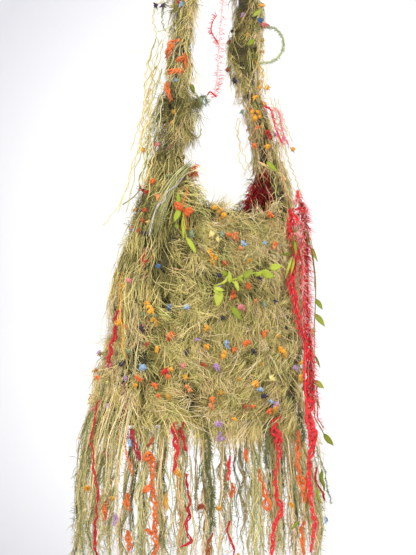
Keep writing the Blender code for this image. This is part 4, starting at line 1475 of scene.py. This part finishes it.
# Marked yarns of the fringe and the left side, by material or colour and by how far they lead.
# Each row: a tint where its colour isn't named, widths in pixels, lashes, and columns and rows
sideLead = flare["overlayLead"]
markedYarns = [
    ("crimson", sideLead, [
        (0.3, (1.5, 2, 2, 2, 3, 2, 4), 90, [(106, 392), (99, 438), (104, 469), (105, 492), (102, 515),
            (104, 538), (106, 556)]),
    ]),
    ("crimson", 0.0, [
        (0.2, (3, 4, 4, 2), 20, [(136, 420), (139, 434), (144, 449)]),
        (0.4, (4, 6, 3, 2), 60, [(176, 414), (177, 430), (178, 446), (177, 462)]),
        (0.25, (2, 4, 2), 40, [(184, 414), (184, 428), (186, 442)]),
        (0.3, (1, 3, 2, 4, 2, 3, 1), 90, [(187, 462), (190, 480), (189, 494), (191, 502), (187, 515),
            (191, 527), (183, 531)]),
        (0.5, (4, 9, 9, 3, 2, 4, 6, 3, 4, 3), 120, [(278, 412), (274, 424), (275, 434), (278, 450),
            (273, 468), (275, 486), (278, 505), (272, 522), (270, 538), (273, 556)]),
        (0.35, (1, 2, 2, 1), 20, [(229, 510), (229, 525), (233, 547)]),
        (0.3, (1, 2, 1.5, 1), 20, [(315, 465), (316, 480), (325, 500)]),
    ]),
    ("crimson", sideLead, [
        (0.35, (1.5, 3, 5, 5, 1), 60, [(118, 308), (116, 325), (112, 340), (107, 352), (104, 361)]),
    ]),
    ("crimson", 0.0, [
        (0.5, (2, 3, 2), 50, [(228, 448), (229, 460), (227, 472)]),
    ]),
    ("orange", 0.0, [
        ((2, 7, 4, 4, 5, 4, 5, 4, 5, 7), 16, [(152, 440), (156, 450), (155, 469), (158, 483), (158, 500),
            (159, 515), (159, 528), (156, 541), (154, 556)]),
        ((3, 8, 3), 10, [(147, 448), (152, 445), (157, 444)]),
        ((5, 7, 4), 10, [(147, 476), (151, 474), (157, 473)]),
        ((3, 5, 3), 10, [(150, 512), (153, 515), (158, 517)]),
        ((2, 1.5, 1.2), 6, [(130, 425), (131, 442), (138, 461)]),
        ((1.5, 2, 3, 8, 9, 2), 14, [(257, 462), (260, 474), (263, 486), (266, 497), (267, 504)]),
        ((2, 5, 4, 4, 8, 6, 2), 24, [(297, 428), (297, 440), (296, 457), (299, 474), (302, 488),
            (304, 498)]),
        ((2, 4, 6, 4), 20, [(302, 515), (300, 530), (302, 543), (301, 556)]),
        ((1, 1, 1), 0, [(271, 221), (277, 227), (286, 234)]),
        ((2, 5, 4, 2), 50, [(112, 486), (113, 496), (111, 503)]),
        ((2, 5, 5, 1), 60, [(132, 478), (133, 486), (134, 494)]),
        ((1, 6, 6, 1), 60, [(133, 512), (135, 523), (134, 532)]),
        ((2, 5, 3), 50, [(231, 474), (233, 480), (229, 488)]),
        ((1, 4, 4, 1), 50, [(244, 442), (245, 449), (246, 455)]),
    ]),
    ("rust", 0.0, [
        ((3, 8, 3), 40, [(198, 494), (202, 496), (206, 495)]),
        ((1, 3, 4, 3, 2), 50, [(212, 520), (209, 533), (207, 545), (206, 556)]),
        ((2, 3, 2), 40, [(150, 436), (155, 432), (158, 428)]),
    ]),
    ("gold", sideLead, [
        ((1, 1.5, 1.5, 1, 1), 20, [(124, 272), (123, 295), (125, 318), (126, 335), (130, 354)]),
        ((3, 6, 5), 10, [(117, 319), (121, 320), (125, 321)]),
        ((2, 6, 2), 30, [(92, 473), (95, 475), (98, 474)]),
    ]),
    ("gold", 0.0, [
        ((2, 4, 2), 30, [(117, 482), (119, 484), (122, 482)]),
        ((2, 5, 2), 30, [(176, 462), (179, 461), (184, 466)]),
        ((3, 6, 3), 20, [(216, 496), (219, 497), (222, 497)]),
        ((2, 4, 2), 30, [(288, 497), (290, 499), (292, 502)]),
        ((2, 4, 1), 30, [(236, 542), (238, 548), (239, 553)]),
        ((1, 3, 3, 1), 40, [(168, 480), (170, 488), (169, 496)]),
    ]),
    ("pink", 0.0, [
        ((0.9, 1.0, 0.9), 0, [(129, 376), (130, 400), (133, 424)]),
        ((2, 5, 2), 40, [(110, 441), (113, 443), (115, 445)]),
        ((1.4, 1.2, 1.2, 1.0), 14, [(147, 248), (145, 262), (146, 274), (143, 281)]),
    ]),
    ("red", 0.0, [
        ((2, 4, 4, 2), 30, [(147, 252), (146, 259), (147, 266)]),
    ]),
    ("lavender", 0.0, [
        ((2, 5, 3), 30, [(129, 425), (132, 427), (134, 428)]),
    ]),
    ("sky", 0.0, [
        ((2, 4, 2), 30, [(134, 430), (135, 433), (136, 436)]),
    ]),
    ("lavender", 0.0, [
        ((2, 4, 4, 1), 20, [(121, 497), (122, 502), (121, 508)]),
        ((2, 3, 1), 20, [(220, 425), (219, 430), (218, 434)]),
    ]),
    ("sky", 0.0, [
        ((1, 2.5, 1), 20, [(324, 515), (327, 519), (326, 521)]),
    ]),
    ("boucle", sideLead, [
        (0.25, (2, 3, 3, 3, 2), 60, [(93, 376), (86, 398), (81, 420), (79, 450), (77, 480), (75, 515),
            (75, 553)]),
    ]),
    ("boucle", 0.0, [
        (0.15, (2, 2, 3, 2, 2), 80, [(101, 470), (98, 495), (96, 520), (103, 540), (116, 556)]),
        (0.1, (2, 3, 3, 2), 90, [(203, 450), (199, 468), (196, 480), (197, 499)]),
        (0.02, (4, 7, 8, 6, 5, 4), 260, [(207, 418), (209, 440), (208, 458), (211, 478), (212, 498),
            (210, 518)]),
        (0.05, (3, 6, 7, 5, 3), 200, [(264, 418), (265, 432), (264, 448), (266, 462)]),
        (0.05, (3, 6, 5, 3), 150, [(301, 412), (302, 428), (299, 444)]),
        (0.15, (1.5, 2, 2, 1.5), 80, [(170, 500), (165, 520), (150, 540), (148, 556)]),
        (0.3, (1.5, 2, 2, 2), 80, [(166, 520), (170, 535), (173, 556)]),
        (0.45, (2, 2.5, 2.5, 2, 2, 1), 110, [(335, 446), (334, 462), (334, 472), (339, 482), (341, 491),
            (343, 498), (336, 505)]),
    ]),
    ("leaf", 0.0, [
        (0.35, (1, 5, 4, 1), 0, [(321, 468), (322, 478), (324, 490)]),
        (0.7, (1, 4, 3, 1), 0, [(316, 485), (318, 493), (321, 502)]),
        (0.2, (1, 4, 1), 0, [(305, 492), (306, 498), (305, 504)]),
        (0.3, (1, 4, 1), 0, [(289, 523), (294, 519), (298, 516)]),
    ]),
]
yarnForms = {"boucle": (0.34, 0.9, 0.45), "leaf": (0.9, 0.4, 0.0)}  # core's share of the width, thin, lumps
plainForm = (0.66, 0.4, 0.32)
marked = {"crimson": [], "novelty": [], "boucle": [], "leaf": []}


# A marked yarn: strands or a tape along its path, and lashes to both sides of it
def addMarked(kind, lead, tint, widths, lashed, pixels):
    offs = 0.008
    if lead:
        offs = (0.020, 0.012, 0.004) if pixels[-1][1] > 440 else 0.020
    path = seenPath(pixels, 10 * len(pixels), offs, lead)
    run = runAlong(path)
    path = path + np.sin(run / 0.0032 + 5 * run[-1])[:, None] * 0.0007 * viewRight
    path = path + np.sin(run / 0.0085 + 3.0)[:, None] * 0.0012 * viewRight
    widths = np.array(widths) * photo["scale"]
    core, thin, lumpy = yarnForms.get(kind, plainForm)
    if kind not in yarnForms and widths.max() > 0.003:
        marked[kind] += strands(path, widths, tint, 3, rng)
    else:
        marked[kind].append(tape(path, widths * core, tint, thin, lumpy=lumpy))
    if kind == "leaf":
        return
    own = [tint] if kind == "novelty" else np.clip(tint + np.array([-0.15, 0, 0.1, 0.25]), 0.01, 0.99)
    reach = max(0.0026, 0.75 * widths.mean())
    length = (0.5 * reach, 1.6 * reach)
    half = int(1.2 * lashed + 1100 * run[-1]) // 2
    for way in (-0.8, 0.8):
        marked[kind].append(lashes(path, half, length, fineLash, inView(way, -0.35, 0.2), 0.5, own, rng))


for kind, lead, rows in markedYarns:
    for *tinted, widths, lashed, pixels in rows:
        if kind in noveltyColours:
            addMarked("novelty", lead, noveltyTint(kind), widths, lashed, pixels)
        else:
            addMarked(kind, lead, tinted[0] - (0.08 if kind == "crimson" else 0), widths, lashed, pixels)
addPiece("fringe_ribbons", marked["crimson"], materials["crimson"])
addPiece("fringe_tapes", marked["novelty"], materials["novelty"])
addPiece("fringe_loops", marked["boucle"], materials["boucle"])
addPiece("fringe_leaves", marked["leaf"], materials["leaf"])

# Loose yarns round the strap and the top of the left side: tint, width in pixels, depths, columns and rows
looseYarns = [
    (0.55, 1.1, (-0.05, -0.07), [(163, 72), (157, 95), (147, 116), (140, 129), (146, 145), (136, 161),
        (131, 182), (120, 215)]),
    (0.45, 1.0, (-0.05, -0.07), [(160, 98), (154, 122), (148, 147), (139, 165), (134, 190), (128, 215)]),
    (0.7, 0.9, (-0.05, -0.06), [(158, 110), (146, 130), (141, 150), (133, 172), (126, 196), (112, 219),
        (104, 227)]),
    (0.35, 1.2, (-0.05, -0.06), [(162, 95), (157, 118), (153, 132), (149, 152), (146, 170)]),
    (0.2, 1.2, (-0.05, -0.07), [(165, 130), (157, 140), (150, 158), (143, 176), (138, 196), (124, 207)]),
    (0.6, 0.8, (-0.05, -0.06), [(150, 110), (143, 124), (147, 142), (150, 150), (146, 164)]),
    (0.5, 1.0, (-0.045, -0.045), [(157, 8), (154, 22), (156, 35), (160, 48)]),
    (0.25, 1.0, (-0.045, -0.045), [(165, 10), (163, 24), (166, 36)]),
    (0.75, 0.8, (-0.045, -0.05), [(158, 36), (165, 34), (172, 30)]),
    (0.65, 1.0, (0.0, 0.02), [(277, 134), (282, 150), (285, 165), (290, 180), (296, 193), (300, 202)]),
    (0.85, 1.0, (0.0, 0.02), [(280, 140), (287, 155), (292, 168), (297, 180), (301, 193)]),
    (0.45, 1.2, (-0.005, 0.005), [(276, 138), (279, 156), (281, 172), (287, 190), (294, 204)]),
    (0.3, 1.0, (0.0, 0.0), [(258, 62), (263, 72), (262, 82), (266, 95)]),
    (0.89, 0.8, (0.002, -0.006), [(259, 64), (261, 76), (260, 88), (263, 100), (266, 110)]),
    (0.62, 0.8, (0.002, -0.006), [(263, 60), (267, 72), (266, 86), (270, 98), (273, 110)]),
    (0.44, 1.0, (-0.05, -0.06), [(166, 2), (162, 8), (157, 11), (154, 22)]),
    (0.2, 1.0, (-0.05, -0.06), [(170, 3), (167, 8), (164, 11), (163, 24)]),
    (0.55, 0.9, (-0.01, 0.0), [(240, 120), (238, 135), (241, 148), (246, 160), (250, 172)]),
    (0.7, 0.9, (-0.01, 0.0), [(238, 118), (236, 128), (240, 145), (239, 158), (245, 170)]),
    (0.45, 1.0, (-0.045, -0.04), [(188, 140), (194, 141), (200, 138), (201, 130)]),
    (0.4, 1.6, (-0.012, -0.006), [(258, 163), (268, 168), (277, 172), (285, 178)]),
    (0.9, 2.4, (-0.01, -0.004), [(257, 162), (266, 166), (276, 171), (286, 180)]),
]


# A yarn by chance: where it starts, and for each next place a way aside, how far aside and how far down
def chanceYarn(columns, rows, onward, width, depths):
    steps = [(rng.uniform(*columns), rng.uniform(*rows))]
    for way, aside, below in onward:
        steps.append((steps[-1][0] + way * rng.uniform(*aside), steps[-1][1] + rng.uniform(*below)))
    return rng.choice([0.35, 0.5, 0.62, 0.75, 0.86]), rng.uniform(*width), depths, steps


leftOnward = [(-1, (4, 14), (20, 35)), (1, (-8, 6), (15, 30)), (-1, (0, 12), (15, 40))]
rightOnward = [(1, (4, 9), (12, 25)), (1, (2, 10), (18, 34))]
looseYarns += [chanceYarn((155, 166), (40, 125), leftOnward, (0.8, 1.3), (-0.05, -0.075)) for _ in range(16)]
looseYarns += [chanceYarn((268, 278), (95, 150), rightOnward, (0.7, 1.1), (0.0, 0.012)) for _ in range(8)]
looseParts = []
for tint, width, depths, pixels in looseYarns:
    path = airPath(pixels, 8 * len(pixels), depths)
    run = np.linspace(0, 1, len(path))[:, None]
    path = path + viewRight * 0.0018 * np.sin(34 * run * (0.6 + tint)) * np.sin(np.pi * run)
    looseParts.append(tape(path, width * photo["scale"], tint, 1.0, sides=4))
    hairs = lashes(path, 14, (0.006, 0.014), finestLash, inView(0, -0.8, 0), 0.5, [tint, 0.6], rng)
    looseParts.append(hairs)

# A wisp of fine fibres beside the left ear
wisp = {"fibres": 135, "steps": 9, "tints": [0.16, 0.24, 0.30, 0.44, 0.79, 0.80, 0.81, 0.60]}
wispPixels = [(194, 164), (182, 175), (172, 189), (165, 203), (160, 217), (156, 230), (152, 246)]
wispPath = airPath(wispPixels, 12, (-0.076, -0.094))
wispSide = unit(np.cross(np.gradient(wispPath, axis=0), viewInto))
each = (wisp["fibres"], 1)
first, last = rng.uniform(-0.02, 0.35, each), rng.uniform(0.6, 1.0, each)
t = np.clip(first + (last - first) * np.linspace(0, 1, wisp["steps"]), 0, 1)
aside = rng.normal(0, 0.0028, each) * (0.8 + 1.6 * t) + 0.0014 * np.sin(9 * t + rng.uniform(0, 6.3, each))
middle, side = (through(rows, t.ravel()).reshape(*t.shape, 3) for rows in (wispPath, wispSide))
wisps = middle + side * aside[..., None] - viewInto * rng.uniform(-0.004, 0.003, (*each, 1))
wispTints = rng.choice(wisp["tints"], wisp["fibres"])
wispWidths = taper(rng.uniform(0.0007, 0.0012, wisp["fibres"]), wisp["steps"])
looseParts.append(tubes(wisps, wispWidths, wispTints))
addPiece("loose_yarns", looseParts, materials["fringe"])

# Coloured cords near the strap: colour, width in pixels, depths, columns and rows
cords = [
    ("pink", 1.0, (-0.06, -0.06), [(187, 138), (178, 147), (170, 150), (166, 156)]),
    ("gold", 1.0, (-0.06, -0.06), [(172, 157), (178, 153), (184, 152)]),
    ("orange", 2.2, (-0.062, -0.058), [(187, 173), (192, 171), (198, 167)]),
    ("orange", 2.0, (-0.062, -0.058), [(188, 178), (193, 176), (198, 175)]),
    ("pink", 0.9, (-0.012, -0.004), [(279, 152), (281, 170), (285, 190), (290, 204)]),
    ("lilac", 1.2, (-0.085, -0.098), [(184, 180), (178, 188), (169, 194), (166, 203), (160, 207),
        (156, 217), (153, 230), (151, 238)]),
    ("mint", 4.0, (-0.045, -0.04), [(187, 112), (192, 106), (198, 102), (204, 99), (208, 106)]),
    ("teal", 3.0, (-0.045, -0.04), [(190, 108), (196, 107), (202, 106)]),
    ("sky", 0.8, (-0.055, -0.05), [(184, 115), (188, 110), (193, 104)]),
    ("gold", 0.8, (-0.02, -0.015), [(253, 60), (258, 68), (262, 76), (265, 90)]),
]
flags = [  # orange flags of the strap: widths and places in pixels
    ((3, 7, 6, 2), [(168, 61), (170, 54), (173, 48), (176, 46)]),
    ((4, 6, 6, 4), [(169, 78), (174, 77), (180, 77), (184, 75)]),
    ((2, 5, 4, 1), [(169, 86), (168, 92), (170, 99), (172, 104)]),
    ((2, 3.5, 3, 1), [(185, 58), (187, 65), (186, 73)]),
    ((1.5, 4, 3, 1), [(177, 66), (182, 64), (187, 63)]),
]
cordParts = []
for flagWidths, pixels in flags:
    path = airPath(pixels, 24, (-0.066, -0.066))
    cordParts += strands(path, np.array(flagWidths) * photo["scale"], orange, 4, rng)
    flagTints = [orange, noveltyTint("peach")]
    cordParts.append(lashes(path, 110, (0.002, 0.006), softLash, inView(0, -0.3, 0.3), 0.8, flagTints, rng))
for colour, width, depths, pixels in cords:
    path = airPath(pixels, 7 * len(pixels), depths)
    thick = width * photo["scale"] * (0.35 if width > 2.5 else 0.8)
    tint = noveltyTint(colour)
    cordParts.append(tape(path, thick, tint, 0.6, sides=5))
    if width > 1.5:
        hairs = int(70 * width)
        cordParts.append(lashes(path, hairs, (0.004, 0.011), softLash, inView(0, 0, 0.3), 0.8, [tint], rng))
addPiece("loose_cords", cordParts, materials["novelty"])

# Crimson in the strap's twist, at the inner edge of the mouth and on the right ear
twistPixels = [(263, 107), (270, 110), (273, 120), (276, 130), (282, 144)]
secondPixels = [(273, 108), (278, 112), (280, 119), (281, 127), (284, 136), (289, 146)]
twist, second = airPath(twistPixels, 34, (-0.016, -0.010)), airPath(secondPixels, 34, (-0.012, -0.004))
outward = inView(0.3, -0.4, 0.3)
edgeTints, earTints = [0.06, 0.12, 0.22, 0.34, 0.44], [0.04, 0.10, 0.18, 0.28]
innerCrimson = rimPile(43, 62, 400, edgeTints, rng, (0.010, 0.020), (-1.0, 0.2), (0.0011, 0.0017), 0.016)
earCrimson = liningPile(2, 44, 260, 0.065, earTints, rng)
tufts = [
    tape(twist, 0.0028, 0.35, 0.5),
    lashes(twist, 150, (0.004, 0.010), fineLash, outward, 0.7, crimsonTints, rng),
    tape(second, 0.0020, 0.85, 0.5),
    lashes(second, 150, (0.004, 0.009), fineLash, outward, 0.7, [0.6, 0.85, 0.97], rng),
    innerCrimson,
    earCrimson,
]
addPiece("crimson_tufts", tufts, materials["crimson"])
print("trim made")


# Stage, light and camera

stage = {"floorZ": -1.36, "back": 1.5, "half": 4.0, "front": -4.5, "bend": 0.7}
# Where the light painted on the backdrop is brightest
stage["bright"] = tuple(0.25 * viewRight + stage["back"] * viewInto + np.array([0, 0, -0.62]))


def addStage():
    t = np.linspace(0, 1, 40) * np.pi / 2
    bend = stage["bend"]
    run = np.concatenate([[stage["front"]], stage["back"] - bend + bend * np.sin(t), [stage["back"]]])
    rise = np.concatenate([[0], bend * (1 - np.cos(t)), [4.5]]) + stage["floorZ"]
    across = np.linspace(-stage["half"], stage["half"], 12)
    places = across[:, None, None] * viewRight + run[None, :, None] * viewInto
    places[..., 2] = rise
    rows, columns, _ = places.shape
    index = np.arange(rows * columns).reshape(rows, columns)
    a, b, c, d = (part.ravel() for part in (index[:-1, :-1], index[1:, :-1], index[1:, 1:], index[:-1, 1:]))
    mesh = bpy.data.meshes.new("backdrop")
    mesh.from_pydata(places.reshape(-1, 3).tolist(), [], np.stack([a, b, c, d], axis=1).tolist())
    mesh.polygons.foreach_set("use_smooth", np.ones(len(mesh.polygons), bool))
    paper, nodes, links, shader = newMaterial("paleBackdrop", 0.9)
    place = nodes.new("ShaderNodeTexCoord")
    apart = nodes.new("ShaderNodeVectorMath")
    apart.operation = "DISTANCE"
    apart.inputs[1].default_value = stage["bright"]
    # Painted light: the backdrop's colour is brightest round a middle behind the bag and falls off darker
    # towards its edges
    near, far = (0.745, 0.742, 0.742), (0.545, 0.54, 0.56)
    paintedLightTone = rampNode(nodes, [(0.0, near), (0.70, near), (1.0, far)])
    links.new(place.outputs["Object"], apart.inputs[0])
    links.new(apart.outputs["Value"], paintedLightTone.inputs[0])
    links.new(paintedLightTone.outputs[0], shader.inputs["Base Color"])
    mesh.materials.append(paper)
    backdrop = bpy.data.objects.new("backdrop", mesh)
    bpy.context.scene.collection.objects.link(backdrop)


def addLight(name, place, size, power, aim=(0, 0, -0.6)):
    light = bpy.data.lights.new(name, "AREA")
    light.size = size
    light.energy = power
    lamp = bpy.data.objects.new(name, light)
    bpy.context.scene.collection.objects.link(lamp)
    start = np.array(place, float)
    lamp.location = start
    way = unit(np.array(aim, float) - start)
    lamp.rotation_euler = Vector(way).to_track_quat("-Z", "Y").to_euler()


def addCamera():
    eye = bpy.data.cameras.new("camera")
    eye.lens = camera["sensor"] * camera["distance"] / camera["shownHeight"]
    eye.sensor_width = camera["sensor"]
    made = bpy.data.objects.new("camera", eye)
    bpy.context.scene.collection.objects.link(made)
    place = camera["across"] * viewRight - camera["distance"] * viewInto
    made.location = (place[0], place[1], camera["height"])
    made.rotation_euler = (math.pi / 2, 0, turn)
    bpy.context.scene.camera = made


addStage()
left, near = -viewRight, -viewInto
addLight("keyLight", left * 1.6 + near * 2.2 + np.array([0, 0, 0.5]), 1.4, 70)
addLight("fillLight", viewRight * 2.0 + near * 1.6 + np.array([0, 0, -0.4]), 2.0, 32)
addLight("topLight", np.array([0, 0, 1.6]) + near * 0.3, 1.2, 26)
world = bpy.data.worlds.new("studio")
world.use_nodes = True
world.node_tree.nodes["Background"].inputs[0].default_value = (0.95, 0.97, 1.0, 1)
world.node_tree.nodes["Background"].inputs[1].default_value = 0.75
bpy.context.scene.world = world
bpy.context.scene.view_settings.view_transform = "Standard"
bpy.context.scene.view_settings.exposure = 0.0
addCamera()
